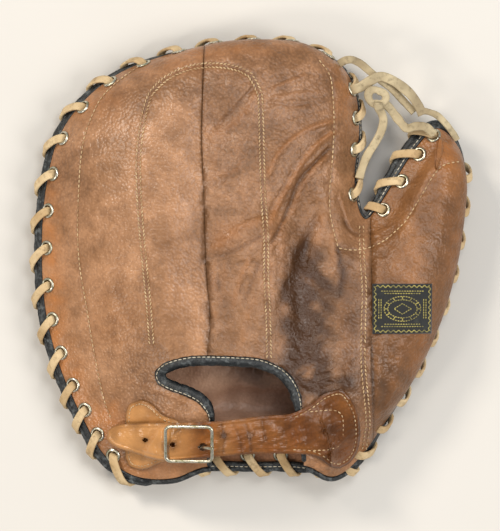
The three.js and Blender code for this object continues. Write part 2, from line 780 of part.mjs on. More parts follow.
// The wrist strap, from its blunt tip on the left flap to its fan-shaped sewn end on the right
const strapTop = [
  [-0.333, -0.387],
  [-0.328, -0.375],
  [-0.3, -0.362],
  [-0.2, -0.357],
  [-0.08, -0.352],
  [0.02, -0.341],
  [0.085, -0.336],
  [0.125, -0.318],
  [0.165, -0.291],
  [0.205, -0.285],
  [0.235, -0.325],
  [0.245, -0.37],
  [0.242, -0.415],
  [0.225, -0.446],
  [0.2, -0.46],
];
const strapLow = [
  [0.2, -0.46],
  [0.175, -0.455],
  [0.145, -0.432],
  [0.11, -0.426],
  [0.02, -0.424],
  [-0.07, -0.43],
  [-0.2, -0.442],
  [-0.29, -0.42],
  [-0.32, -0.408],
  [-0.331, -0.397],
];
const strapOutline = [...planCurve(strapTop, 20), ...planCurve(strapLow, 11).slice(1)].reverse();
const strapHoles = [
  [-0.244, -0.396],
  [-0.181, -0.404],
  [-0.1125, -0.409],
  [-0.065, -0.383],
  [-0.006, -0.383],
];
const prongHoleIndex = 2;
const patchOutline = planCurve([
  [-0.292, -0.41],
  [-0.287, -0.33],
  [-0.266, -0.31],
  [-0.245, -0.309],
  [-0.225, -0.32],
  [-0.2, -0.342],
  [-0.17, -0.352],
  [-0.16, -0.37],
  [-0.17, -0.43],
  [-0.21, -0.448],
  [-0.25, -0.464],
  [-0.28, -0.458],
  [-0.291, -0.44],
], 18).reverse();
const strapGap = (point) => {
  const share = point.x / mittWidth;
  return clearance + strapLift * (1 - THREE.MathUtils.smoothstep(share, -0.06, 0.13)) + 0.5 * (share < 0.14);
};

// The palm's lining: a rounded field below the hand opening
const liningOutline = planCurve([
  [-0.1, -0.4],
  [-0.16, -0.38],
  [-0.24, -0.3],
  [-0.26, -0.2],
  [-0.2, -0.1],
  [-0.05, -0.06],
  [0.1, -0.1],
  [0.15, -0.2],
  [0.14, -0.33],
  [0.08, -0.39],
  [0, -0.4],
  [-0.09, -0.4],
], 18).reverse();

const labelCentre = at(0.34, -0.105);
const labelOutline = [
  new THREE.Vector3(labelCentre.x - labelWidth / 2, labelCentre.y - labelHeight / 2, 0),
  new THREE.Vector3(labelCentre.x + labelWidth / 2, labelCentre.y - labelHeight / 2, 0),
  new THREE.Vector3(labelCentre.x + labelWidth / 2, labelCentre.y + labelHeight / 2, 0),
  new THREE.Vector3(labelCentre.x - labelWidth / 2, labelCentre.y + labelHeight / 2, 0),
];

// Buckle frame: a rounded rectangle of wire over the strap, tilted with it
const buckleCentre = at(-0.144, -0.402);
function buckleStations() {
  const stack = clearance + strapLift + strapThickness + clearance + buckleWire / 2;
  const height = (dx, dy) => backTop(new THREE.Vector3(buckleCentre.x + dx, buckleCentre.y + dy, 0));
  const halfLong = buckleLength / 2 - buckleWire / 2;
  const halfHigh = buckleHeight / 2 - buckleWire / 2;
  const east = new THREE.Vector3(2 * halfLong, 0, height(halfLong, 0) - height(-halfLong, 0)).normalize();
  const north = new THREE.Vector3(0, 2 * halfHigh, height(0, halfHigh) - height(0, -halfHigh)).normalize();
  const normal = unit(east.clone().cross(north));
  const centre = buckleCentre.clone().setZ(height(0, 0) + (stack + buckleRise) / normal.z);
  const radius = 3;
  const points = [];
  for (const [sx, sy, from] of [[1, 1, 0], [-1, 1, 1], [-1, -1, 2], [1, -1, 3]]) {
    for (let k = 0; k <= 2; k += 1) {
      const angle = (Math.PI / 2) * (from + k / 2);
      const x = sx * (halfLong - radius) + radius * Math.cos(angle);
      const y = sy * (halfHigh - radius) + radius * Math.sin(angle);
      points.push({ x, y, angle });
    }
  }
  const place = (x, y) => centre.clone().addScaledVector(east, x).addScaledVector(north, y);
  const stations = points.map(({ x, y, angle }) => {
    const side = east.clone().multiplyScalar(Math.cos(angle)).addScaledVector(north, Math.sin(angle));
    return { point: place(x, y), side, over: normal };
  });
  return { stations, place, normal, east, north, halfLong };
}

// Prong: from below the strap straight up through its hole, then down onto the right bar of the frame
function prongPoints(buckle) {
  const hole = at(...strapHoles[prongHoleIndex]);
  const seat = hole.clone().setZ(backTop(hole));
  const slopeTo = (step) => step.clone().setZ(backTop(hole.clone().add(step)) - seat.z).normalize();
  const east = slopeTo(new THREE.Vector3(4, 0, 0));
  const lean = east.clone().cross(slopeTo(new THREE.Vector3(0, 4, 0))).normalize().z;
  const under = seat.clone().addScaledVector(up, (strapLift - buckleWire / 2) / lean);
  const above = strapLift + strapThickness + 2 * clearance + buckleWire / 2 + prongRise;
  const bar = buckle.place(buckle.halfLong + prongTip, hole.y - buckleCentre.y);
  return [
    under.clone().addScaledVector(east, -prongTail),
    under,
    seat.clone().addScaledVector(up, above / lean),
    bar.addScaledVector(buckle.normal, buckleWire + clearance + prongEase),
  ];
}

const prongSolid = (buckle) =>
  sweepSolid(laceStations(prongPoints(buckle), () => buckle.north), laceSection(buckleWire, buckleWire));

// The laces left of the web: share rows across, along, and height as a share of the crown
const webLaces = {
  web_lace_lower: [
    [0.226, 0.448, 0.5], [0.236, 0.446, 0.48], [0.25, 0.438, 0.5], [0.27, 0.421, 0.51], [0.292, 0.404, 0.505],
    [0.315, 0.388, 0.455], [0.345, 0.358, 0.4], [0.37, 0.332, 0.41],
  ],
  web_lace_outer: [
    [0.235, 0.384, 0.53], [0.248, 0.388, 0.55], [0.27, 0.402, 0.57], [0.292, 0.411, 0.55], [0.316, 0.404, 0.53],
    [0.342, 0.388, 0.5], [0.363, 0.37, 0.48], [0.38, 0.345, 0.48], [0.386, 0.33, 0.48],
  ],
  web_lace_tip: [
    [0.398, 0.334, 0.475], [0.42, 0.326, 0.497], [0.438, 0.31, 0.509], [0.455, 0.29, 0.474], [0.468, 0.272, 0.404],
  ],
  web_lace_diagonal: [
    [0.301, 0.352, 0.555], [0.316, 0.338, 0.52], [0.334, 0.315, 0.5], [0.352, 0.296, 0.53], [0.372, 0.3, 0.58],
    [0.395, 0.298, 0.62], [0.414, 0.282, 0.6],
  ],
  web_lace_hanging: [
    [0.285, 0.339, 0.558], [0.296, 0.327, 0.53], [0.299, 0.31, 0.5], [0.292, 0.285, 0.46], [0.278, 0.26, 0.44],
    [0.262, 0.235, 0.425], [0.25, 0.205, 0.45], [0.244, 0.185, 0.49],
  ],
};
const knotRow = { across: 0.283, along: 0.365, height: 0.6, radius: 5.6 };

// A flat lace through share rows, its flat side up
function webLace(rows, width = laceWidth, thickness = laceThickness) {
  const points = rows.map(([across, along, height]) => at(across, along).setZ(height * crownHeight));
  const curve = new THREE.CatmullRomCurve3(points, false, 'centripetal');
  const smooth = curve.getSpacedPoints(rows.length + 3);
  const side = (i) => {
    const ahead = smooth[Math.min(i + 1, smooth.length - 1)].clone().sub(smooth[Math.max(i - 1, 0)]);
    return unit(up.clone().cross(ahead));
  };
  return sweepSolid(laceStations(smooth, side), laceSection(width, thickness));
}

// The knot: one round turn of the lace
function knotSolid() {
  const centre = at(knotRow.across, knotRow.along).setZ(knotRow.height * crownHeight);
  const stations = [];
  for (let i = 0; i < 12; i += 1) {
    const angle = (2 * Math.PI * i) / 12;
    const side = new THREE.Vector3(Math.cos(angle), Math.sin(angle), 0);
    stations.push({ point: centre.clone().addScaledVector(side, knotRow.radius), side, over: up });
  }
  return sweepSolid(stations, laceSection(laceWidth * 0.9, laceThickness), true);
}

// Thin binding along the lower edge of a wrist flap, from one row of the edge table to another
function flapBinding(fromRow, toRow) {
  const from = fromRow / edgeRows.length;
  const to = toRow / edgeRows.length;
  const places = [from, ...stationPlaces.filter((place) => place > from && place < to), to];
  const stations = places.map((place) => {
    const frame = between(backFrames, place);
    const point = local(frame, -clearance - flapBindingRadius, halfGap + backLeather / 2);
    return { point, side: frame.into, over: frame.out };
  });
  return sweepSolid(stations, ringSection(flapBindingRadius, 6));
}

// Materials: colour, roughness, metalness
const finish = (color, roughness, metalness = 0) => new THREE.MeshStandardMaterial({ color, roughness, metalness });
const brownLeather = finish('#a5775a', 0.6);
const thumbLeather = finish('#8a6648', 0.6);
const liningFinish = finish('#6e524a', 0.7);
const blackLeather = finish('#1e2224', 0.5);
const rawhide = finish('#c8ae7a', 0.75);
const strapLeather = finish('#a5682f', 0.5);
const nickel = finish('#b8b4a2', 0.35, 1);
const labelCloth = finish('#1c1e22', 0.9);

const group = new THREE.Group();
function addPart(name, solid, material) {
  const mesh = new THREE.Mesh(geometryOf(solid), material);
  mesh.name = name;
  group.add(mesh);
}

const cutAll = (solid, tools) => tools.reduce((result, tool) => result.subtract(tool), solid);
const largest = (solid) => solid.decompose().sort((a, b) => b.volume() - a.volume())[0];
const punchedBack = cutAll(wholeBack, backPunches).subtract(openingCut());
const leftOfPalmSeam = offsetCurve(palmSeam, -halfGap);
const rightOfPalmSeam = offsetCurve(palmSeam, halfGap);
addPart('back_left', largest(punchedBack.intersect(prism(leftOfSeam(leftOfButt)))), brownLeather);
addPart('back_right', largest(punchedBack.intersect(prism(betweenSeams(rightOfButt, leftOfThumb)))), brownLeather);
addPart('thumb_back', largest(punchedBack.intersect(prism(rightRegion))), thumbLeather);

const palm = cutAll(shellSolid(palmHigh, palmLow), palmPunches);
addPart('palm_left', largest(palm.intersect(prism(leftOfSeam(leftOfPalmSeam)))), brownLeather);
addPart('palm_right', largest(palm.intersect(prism(betweenSeams(rightOfPalmSeam, leftOfThumb)))), brownLeather);
addPart('palm_thumb', largest(palm.intersect(prism(rightRegion))), brownLeather);

// The smooth leather over the palm's inner face, where the hand opening shows it
const palmNormals = faceNormals(palmHigh, palmFrames);
const overPalm = (distance) =>
  palmHigh.map((profile, i) => profile.map((point, k) => point.clone().addScaledVector(palmNormals[i][k], distance)));
const lining = shellSolid(overPalm(clearance + liningLeather), overPalm(clearance));
addPart('palm_lining', largest(lining.intersect(prism(liningOutline))), liningFinish);

addPart('edge_welt', weltSolid(), blackLeather);
addPart('edge_lace', whipLace(edgeHoles), rawhide);
addPart('thumb_whip_lace', whipLace(thumbWebHoles, 8, 8), rawhide);
addPart('finger_whip_lace', whipLace(fingerWebHoles), rawhide);
allHoles.filter((hole) => hole.ringed).forEach((hole, i) => {
  addPart(`eyelet_${String(i + 1).padStart(2, '0')}`, eyelet(hole), nickel);
});

addPart('opening_binding', sweepSolid(openingStations(), ringSection(1, 6)), blackLeather);
addPart('flap_binding_left', flapBinding(14.4, 16.1), blackLeather);
addPart('flap_binding_right', flapBinding(18.1, 19.5), blackLeather);

const strapPunches = strapHoles.map((hole, i) => {
  const centre = at(...hole);
  const radius = i === prongHoleIndex ? prongHoleRadius : strapHoleRadius;
  const ring = ringSection(radius, 6).map(([x, y]) => new THREE.Vector3(centre.x + x, centre.y + y, 0));
  return prism(ring);
});
const strap = backLayer(strapGap, (point) => strapGap(point) + strapThickness, strapOutline);
addPart('wrist_strap', cutAll(strap, strapPunches), strapLeather);
addPart('buckle_patch', backLayer(clearance, clearance + patchThickness, patchOutline), strapLeather);
addPart('label', backLayer(clearance, clearance + labelThickness, labelOutline), labelCloth);

const buckle = buckleStations();
addPart('buckle_frame', sweepSolid(buckle.stations, ringSection(buckleWire / 2, 6), true), nickel);
addPart('buckle_prong', prongSolid(buckle), nickel);

for (const [name, rows] of Object.entries(webLaces)) {
  addPart(name, webLace(rows), rawhide);
}
addPart('web_knot', knotSolid(), rawhide);

// The origin goes to the middle of the floor below the mitt
const box = new THREE.Box3().setFromObject(group);
const middle = box.getCenter(new THREE.Vector3());
for (const mesh of group.children) {
  mesh.position.set(-middle.x, -middle.y, -box.min.z);
}

export default group;
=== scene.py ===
import math

import bmesh
import bpy
import numpy as np
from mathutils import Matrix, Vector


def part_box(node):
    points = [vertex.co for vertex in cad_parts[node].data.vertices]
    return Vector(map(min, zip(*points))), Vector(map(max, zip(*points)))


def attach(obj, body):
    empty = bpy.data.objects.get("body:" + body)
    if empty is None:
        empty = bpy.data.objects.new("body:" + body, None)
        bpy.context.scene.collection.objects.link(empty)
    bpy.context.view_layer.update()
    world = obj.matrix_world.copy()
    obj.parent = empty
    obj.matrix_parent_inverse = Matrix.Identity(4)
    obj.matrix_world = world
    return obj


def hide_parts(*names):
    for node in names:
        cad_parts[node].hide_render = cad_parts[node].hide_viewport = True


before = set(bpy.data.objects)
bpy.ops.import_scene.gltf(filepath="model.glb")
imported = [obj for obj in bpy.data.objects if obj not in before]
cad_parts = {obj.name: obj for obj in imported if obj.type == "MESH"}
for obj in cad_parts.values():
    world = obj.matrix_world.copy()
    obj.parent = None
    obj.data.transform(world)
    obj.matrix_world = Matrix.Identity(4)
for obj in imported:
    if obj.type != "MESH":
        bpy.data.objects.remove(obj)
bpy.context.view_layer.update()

# Sizes in millimetres, the same as the solids have. The table's middle is the middle of the mitt.
# rimInset, rimWidth, rimStep and groove shape the palm's underside from the flange inwards.
mitt = {
    "width": 264, "length": 271, "crown": 60, "pocket": 12, "spineHalf": 9,
    "backLeather": 2.2, "palmLeather": 2.6, "padding": 9, "gap": 0.15, "flange": 9.4,
    "rimInset": 22, "rimWidth": 12, "rimStep": 2.5, "groove": 4.5,
    "welt": 6.4, "weltGap": 0.3, "holeInset": 4.5,
    "backColumns": 1000, "backSteps": 72, "palmColumns": 560,
}
planSize = np.array([mitt["width"], mitt["length"]])
fullSize = np.array([mitt["width"], mitt["length"], mitt["crown"]])
flangeTop = mitt["gap"] + mitt["backLeather"]                     # the back leather's upper face over the middle
flangeLow = -mitt["gap"] - mitt["palmLeather"]                    # and the palm leather's lower face under it
flapRise = 0.03                               # lift from which the back stands off the palm, as at the wrist
millimetre = 0.001
pixel = 0.6                                   # millimetres that one pixel of the photograph covers
photoMiddle = (252.5, 261.3)                  # pixel over the table's middle

# across, along, rise, slope, lift, inset, welt, spine: the leather's edge, counterclockwise from the finger corner
edgeTable = np.array([
    [0.192, 0.437, 0.34, 78, 0, 0, 0.6, 0],
    [0.119, 0.475, 0.29, 92, 0, 0, 0.8, 0],
    [0.022, 0.484, 0.27, 94, 0, 0, 1, 0],
    [-0.085, 0.477, 0.26, 92, 0, 0, 1, 0.01],
    [-0.199, 0.453, 0.26, 78, 0, 0, 1, 0.03],
    [-0.306, 0.413, 0.27, 64, 0, 0, 1, 0.06],
    [-0.388, 0.349, 0.28, 52, 0, 0, 1, 0.1],
    [-0.442, 0.269, 0.28, 46, 0, 0, 1, 0.14],
    [-0.47, 0.158, 0.28, 41, 0, 0, 1, 0.17],
    [-0.479, 0.029, 0.28, 38, 0, 0, 1, 0.21],
    [-0.471, -0.108, 0.28, 34, 0, 0, 1, 0.26],
    [-0.438, -0.236, 0.28, 30, 0, 0, 1, 0.31],
    [-0.384, -0.354, 0.29, 27, 0, 0, 1, 0.35],
    [-0.336, -0.432, 0.3, 26, 0, 0, 1, 0.37],
    [-0.268, -0.477, 0.3, 26, 0, -0.006, 0.9, 0.38],
    [-0.184, -0.48, 0.3, 25, 0.24, 0.018, 0.9, 0.39],
    [-0.107, -0.453, 0.3, 24, 0.38, 0.006, 1, 0.41],
    [0.006, -0.448, 0.3, 22, 0.43, 0, 1, 0.44],
    [0.117, -0.45, 0.3, 24, 0.38, 0, 1, 0.48],
    [0.182, -0.475, 0.3, 32, 0.24, 0.018, 0.9, 0.51],
    [0.237, -0.44, 0.3, 50, 0, -0.006, 0.9, 0.53],
    [0.295, -0.36, 0.28, 76, 0, 0, 0.9, 0.55],
    [0.357, -0.267, 0.27, 90, 0, 0, 0.9, 0.6],
    [0.414, -0.141, 0.26, 98, 0, 0, 0.9, 0.71],
    [0.452, -0.02, 0.26, 98, 0, 0, 0.9, 0.8],
    [0.473, 0.098, 0.26, 96, 0, 0, 0.9, 0.9],
    [0.481, 0.186, 0.28, 90, 0, 0, 0.9, 0.98],
    [0.467, 0.249, 0.32, 74, 0, 0, 0.9, 1],
    [0.424, 0.292, 0.38, 40, 0, 0, 1.1, 1],
    [0.381, 0.257, 0.42, 26, 0, 0, 1.25, 1],
    [0.331, 0.184, 0.45, 24, 0, 0, 1.2, 0.96],
    [0.288, 0.118, 0.45, 28, 0, 0, 0.8, 0.88],
    [0.258, 0.09, 0.44, 40, 0, 0, 0.35, 0.62],
    [0.236, 0.121, 0.42, 52, 0, 0, 0.4, 0.45],
    [0.228, 0.198, 0.39, 58, 0, 0, 0.45, 0.3],
    [0.238, 0.291, 0.37, 58, 0, 0, 0.5, 0.18],
    [0.228, 0.379, 0.36, 64, 0, 0, 0.5, 0.08],
])
# across, along, crown, pocket, half: the spine below the crown
spineTable = np.array([
    [-0.045, 0.3, 0.82, 0.8, 1], [-0.1, 0.16, 0.92, 1, 1], [-0.115, -0.05, 1, 1, 1],
    [-0.065, -0.2, 0.99, 0.7, 1], [0.1, -0.235, 0.93, 0.5, 0.8], [0.265, -0.18, 0.86, 0.3, 0.5],
    [0.345, -0.06, 0.83, 0.2, 0.4], [0.385, 0.08, 0.76, 0.1, 0.33], [0.405, 0.17, 0.68, 0, 0.33],
])
# fromAcross, fromAlong, toAcross, toAlong, width, height: the main dents of the solids
dentTable = np.array([
    [0.12, 0.1, 0.13, -0.2, 0.06, -0.12], [0.185, 0.308, 0.042, 0.222, 0.03, 0.035],
    [0.17, 0.25, 0.06, 0.11, 0.03, -0.03], [-0.09, 0.33, -0.1, -0.1, 0.035, -0.045],
    [0.03, 0.06, -0.05, 0.0, 0.03, 0.04], [0.21, 0.03, 0.22, -0.33, 0.03, 0.035],
])
labelMiddle = np.array([0.34, -0.105]) * planSize
low, high = (np.array(corner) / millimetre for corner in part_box("label"))
shift = np.array([*((low + high)[:2] / 2 - labelMiddle), 0.0])        # how far the solids were moved to their origin


# Arrays and curves
def unit(vectors):
    # each row divided by its length
    return vectors / np.maximum(np.linalg.norm(vectors, axis=-1, keepdims=True), 1e-9)


def fromPhoto(points):
    # pixels of the photograph to millimetres of the table
    points = np.asarray(points, float)
    return np.stack([(points[:, 0] - photoMiddle[0]) * pixel, (photoMiddle[1] - points[:, 1]) * pixel], 1)


def toPhoto(points):
    # millimetres of the table to pixels of the photograph
    return np.stack([points[:, 0] / pixel + photoMiddle[0], photoMiddle[1] - points[:, 1] / pixel], 1)


def tableCurve(rows, place, closed=True):
    # Catmull-Rom curve through the rows: b + t/2 (c - a + t (2a - 5b + 4c - d + t (3(b - c) + d - a)))
    count = len(rows)
    if closed:
        spot = (place % 1.0) * count
        cell = np.floor(spot).astype(int)
        a, b, c, d = (rows[(cell + k) % count] for k in (-1, 0, 1, 2))
    else:
        wide = np.vstack([2 * rows[0] - rows[1], rows, 2 * rows[-1] - rows[-2]])
        spot = np.clip(place, 0, 1) * (count - 1)
        cell = np.minimum(np.floor(spot).astype(int), count - 2)
        a, b, c, d = (wide[cell + k] for k in (0, 1, 2, 3))
    t = (spot - cell)[:, None]
    return b + 0.5 * t * (c - a + t * (2 * a - 5 * b + 4 * c - d + t * (3 * (b - c) + d - a)))


def lengthUpTo(points):
    # length of a line from its start up to each of its points
    return np.concatenate([[0], np.cumsum(np.linalg.norm(np.diff(points, axis=0), axis=1))])


def readLine(points, ruler, where):
    # the line's points at the places of its ruler
    return np.stack([np.interp(where, ruler, points[:, axis]) for axis in range(points.shape[1])], 1)


def evenCurve(points, count):
    # the smooth curve through the points, read at equal steps of its own length
    dense = tableCurve(np.asarray(points, float), np.linspace(0, 1, 40 * len(points)), False)
    ruler = lengthUpTo(dense)
    return readLine(dense, ruler, np.linspace(0, ruler[-1], count))


def planCurve(shares, count):
    # the same for points given as shares of the mitt's width and length
    return evenCurve(np.array(shares) * planSize, count)


def closedLine(outline):
    return np.vstack([outline, outline[:1]])


def rounded(values, rounds=3):
    # corner cutting: each corner gives way to points a quarter and three quarters along its two sides
    for step in range(rounds):
        a, b = values[:-1], values[1:]
        cut = np.stack([0.75 * a + 0.25 * b, 0.25 * a + 0.75 * b], 1).reshape(-1, values.shape[1])
        values = np.vstack([values[:1], cut, values[-1:]])
    return values


def smoothStep(value, start, end):
    t = np.clip((value - start) / (end - start), 0, 1)
    return t * t * (3 - 2 * t)


def unevenness(points, size, seed, waves=14):
    # sum of cosine waves of random direction and phase, about one high
    dice = np.random.default_rng(seed)
    angle = dice.uniform(0, 2 * math.pi, waves)
    pace = 2 * math.pi / (size * dice.uniform(0.6, 1.6, waves))
    phase = dice.uniform(0, 2 * math.pi, waves)
    travel = points[:, :1] * np.cos(angle) + points[:, 1:2] * np.sin(angle)
    return np.cos(travel * pace + phase).sum(1) / math.sqrt(waves)


def bell(distance, width):
    # one at no distance, exp(-(distance / width)^2) away from it
    return np.exp(-(distance / width) ** 2)


def lineDistance(points, line):
    # distance to a line of several straight stretches, and the signed side (left above zero) of the nearest one
    nearest = np.full(len(points), 1e9)
    side = np.zeros(len(points))
    for start, end in zip(line[:-1], line[1:]):
        along = end - start
        reach = points - start
        t = np.clip(reach @ along / max(along @ along, 1e-9), 0, 1)
        off = reach - t[:, None] * along
        distance = np.hypot(off[:, 0], off[:, 1])
        closer = distance < nearest
        nearest = np.where(closer, distance, nearest)
        side = np.where(closer, np.sign(along[0] * reach[:, 1] - along[1] * reach[:, 0]), side)
    return nearest, side


def away(points, line):
    # the distance alone
    return lineDistance(points, line)[0]


def insideOutline(points, outline):
    # whether a level ray from the point crosses the outline an odd number of times
    inside = np.zeros(len(points), bool)
    for a, b in zip(outline, np.roll(outline, -1, axis=0)):
        spans = (a[1] > points[:, 1]) != (b[1] > points[:, 1])
        rise = b[1] - a[1] if abs(b[1] - a[1]) > 1e-9 else 1e-9
        inside ^= spans & (points[:, 0] < a[0] + (points[:, 1] - a[1]) * (b[0] - a[0]) / rise)
    return inside


# Meshes
def gridFaces(rows, columns, closeRows=True):
    # four-sided faces of a grid whose rows run round and whose columns run inwards
    spans = rows if closeRows else rows - 1
    i = np.arange(spans)[:, None]
    k = np.arange(columns - 1)[None, :]
    j = (i + 1) % rows
    return np.stack([i * columns + k, j * columns + k, j * columns + k + 1, i * columns + k + 1], -1).reshape(-1, 4)


def makeObject(name, points, faces, material):
    # points in millimetres of the table become a mesh in metres
    mesh = bpy.data.meshes.new(name)
    if not isinstance(faces, list):
        narrow = faces[:, 2] == faces[:, 3]               # quads that close to triangles where columns meet
        faces = faces[~narrow].tolist() + faces[narrow, :3].tolist()
    mesh.from_pydata(((points + shift) * millimetre).tolist(), [], faces)
    mesh.validate()
    mesh.polygons.foreach_set("use_smooth", np.full(len(mesh.polygons), True))
    mesh.materials.append(material)
    made = bpy.data.objects.new(name, mesh)
    bpy.context.scene.collection.objects.link(made)
    return made


def paint(made, name, values):
    # one number a vertex, for the materials
    layer = made.data.attributes.new(name, "FLOAT", "POINT")
    layer.data.foreach_set("value", np.asarray(values, np.float32))


def weld(made):
    # merges points that lie together
    shape = bmesh.new()
    shape.from_mesh(made.data)
    bmesh.ops.remove_doubles(shape, verts=shape.verts, dist=2e-6)
    bmesh.ops.dissolve_degenerate(shape, edges=shape.edges, dist=1e-7)
    shape.to_mesh(made.data)
    shape.free()


def thicken(made, thickness):
    # a wall below the surface
    wall = made.modifiers.new("wall", "SOLIDIFY")
    wall.thickness = thickness * millimetre
    wall.offset = -1
    wall.use_even_offset = False
    bpy.context.view_layer.objects.active = made
    for other in bpy.context.selected_objects:
        other.select_set(False)
    made.select_set(True)
    bpy.ops.object.modifier_apply(modifier="wall")


def sidesOf(faces):
    # the four sides of each face, as pairs of points
    return np.concatenate([faces[:, [0, 1]], faces[:, [1, 2]], faces[:, [2, 3]], faces[:, [3, 0]]])


def facingUp(points, faces):
    # faces of a plan, turned so that they look up
    corner = points[faces]
    area = np.cross(corner[:, 2] - corner[:, 0], corner[:, 3] - corner[:, 1])
    return faces if np.median(area) > 0 else faces[:, ::-1]


def keepFaces(points, faces, kept):
    # the kept faces with only the points that they use, and the numbers of those points
    used = np.unique(faces[kept])
    number = np.zeros(len(points), int)
    number[used] = np.arange(len(used))
    return points[used], number[faces[kept]]


def sweepMesh(path, side, over, section, closed=False):
    # a section of (side, over) pairs carried along a path; section may be one for all or one for each station
    section = np.broadcast_to(section, (len(path),) + section.shape[-2:])
    points = path[:, None] + section[..., :1] * side[:, None] + section[..., 1:] * over[:, None]
    count, around = points.shape[:2]
    flat = points.reshape(-1, 3)
    i = np.arange(count if closed else count - 1)[:, None]
    k = np.arange(around)[None, :]
    j, l = (i + 1) % count, (k + 1) % around
    faces = np.stack([i * around + k, i * around + l, j * around + l, j * around + k], -1).reshape(-1, 4)
    a, b, c = (flat[faces[:, n]] for n in (0, 1, 2))
    middle = flat.mean(0)
    turned = np.einsum("ij,ij->i", a - middle, np.cross(b - middle, c - middle)).sum() < 0     # volume below zero
    faces = (faces[:, ::-1] if turned else faces).tolist()
    if not closed:
        first, last = list(range(around)), list(range((count - 1) * around, count * around))
        faces += [first, last[::-1]] if turned else [first[::-1], last]
    return flat, faces


def ovalSection(width, height, sides=12, square=2.6):
    # a flattened round: |x/a|^n + |y/b|^n = 1
    angle = np.arange(sides) * 2 * math.pi / sides
    c, s = np.cos(angle), np.sin(angle)
    return np.stack([np.sign(c) * np.abs(c) ** (2 / square) * width / 2,
                     np.sign(s) * np.abs(s) ** (2 / square) * height / 2], 1)


def pathFrames(path, hint):
    # the hint made square to the direction of travel, and the third axis
    along = unit(np.gradient(path, axis=0))
    side = unit(hint - (hint * along).sum(1, keepdims=True) * along)
    return side, np.cross(along, side)


def dress(made, slot, *nodes):
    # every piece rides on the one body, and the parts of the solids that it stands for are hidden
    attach(made, "root")
    if nodes:
        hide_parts(*nodes)
    return made


def swept(name, material, slot, node, *shape):
    # a dressed piece whose cross section runs along a path
    return dress(makeObject(name, *sweepMesh(*shape), material), slot, node)


# Materials
def hexColour(text):
    # sRGB hex to linear light
    parts = [int(text[i:i + 2], 16) / 255 for i in (1, 3, 5)]
    return tuple(p / 12.92 if p <= 0.04045 else ((p + 0.055) / 1.055) ** 2.4 for p in parts) + (1.0,)


def addNode(tree, kind, inputs, **settings):
    made = tree.nodes.new(kind)
    for name, value in settings.items():
        setattr(made, name, value)
    for socket, value in inputs.items():
        if isinstance(value, bpy.types.NodeSocket):
            tree.links.new(value, made.inputs[socket])
        else:
            made.inputs[socket].default_value = value
    return made


def newMaterial(name, roughness, metallic=0.0, ior=1.5, sheen=0.0):
    material = bpy.data.materials.new(name)
    material.use_nodes = True
    tree = material.node_tree
    shader = tree.nodes["Principled BSDF"]
    shader.inputs["Roughness"].default_value = roughness
    shader.inputs["Metallic"].default_value = metallic
    if metallic == 0:
        shader.inputs["IOR"].default_value = ior
    shader.inputs["Sheen Weight"].default_value = sheen
    place = addNode(tree, "ShaderNodeTexCoord", {}).outputs["Object"]
    return material, tree, shader, place


def mixColour(tree, share, first, second):
    return addNode(tree, "ShaderNodeMix", {0: share, 6: first, 7: second}, data_type="RGBA").outputs[2]


def spread(tree, value, start, end, low=0.0, high=1.0):
    made = addNode(tree, "ShaderNodeMapRange", {0: value, 1: start, 2: end, 3: low, 4: high}, clamp=True)
    return made.outputs[0]


def combine(tree, operation, first, second):
    return addNode(tree, "ShaderNodeMath", {0: first, 1: second}, operation=operation).outputs[0]


def noise(tree, place, scale, detail, roughness=0.5, distortion=0.0):
    return addNode(tree, "ShaderNodeTexNoise", {"Vector": place, "Scale": scale, "Detail": detail,
                                                "Roughness": roughness, "Distortion": distortion}).outputs["Fac"]


def painted(tree, name):
    return addNode(tree, "ShaderNodeAttribute", {}, attribute_name=name).outputs["Fac"]


def intoShader(tree, shader, colour, height=None, strength=0.0, distance=0.0, roughness=None):
    # colour, and relief and roughness where given, into the shader
    tree.links.new(colour, shader.inputs["Base Color"])
    if roughness is not None:
        tree.links.new(roughness, shader.inputs["Roughness"])
    if height is not None:
        bump = addNode(tree, "ShaderNodeBump", {"Height": height, "Strength": strength, "Distance": distance})
        tree.links.new(bump.outputs["Normal"], shader.inputs["Normal"])


# Vegetable-tanned glove leather, oiled and handled for decades: pebbled grain over a millimetre across, fine creases
# with painted shade in them, darker where hands and dirt worked in and where shade is painted in, more orange and
# smoother where it rubbed and where highlights are painted
leatherLook = {
    "grain": 640.0, "creases": 115.0, "mottle": 46.0, "cloud": 13.0, "speck": 620.0, "grainHeight": 0.6,
    "creaseHeight": 1.3, "distance": 0.0006,
}


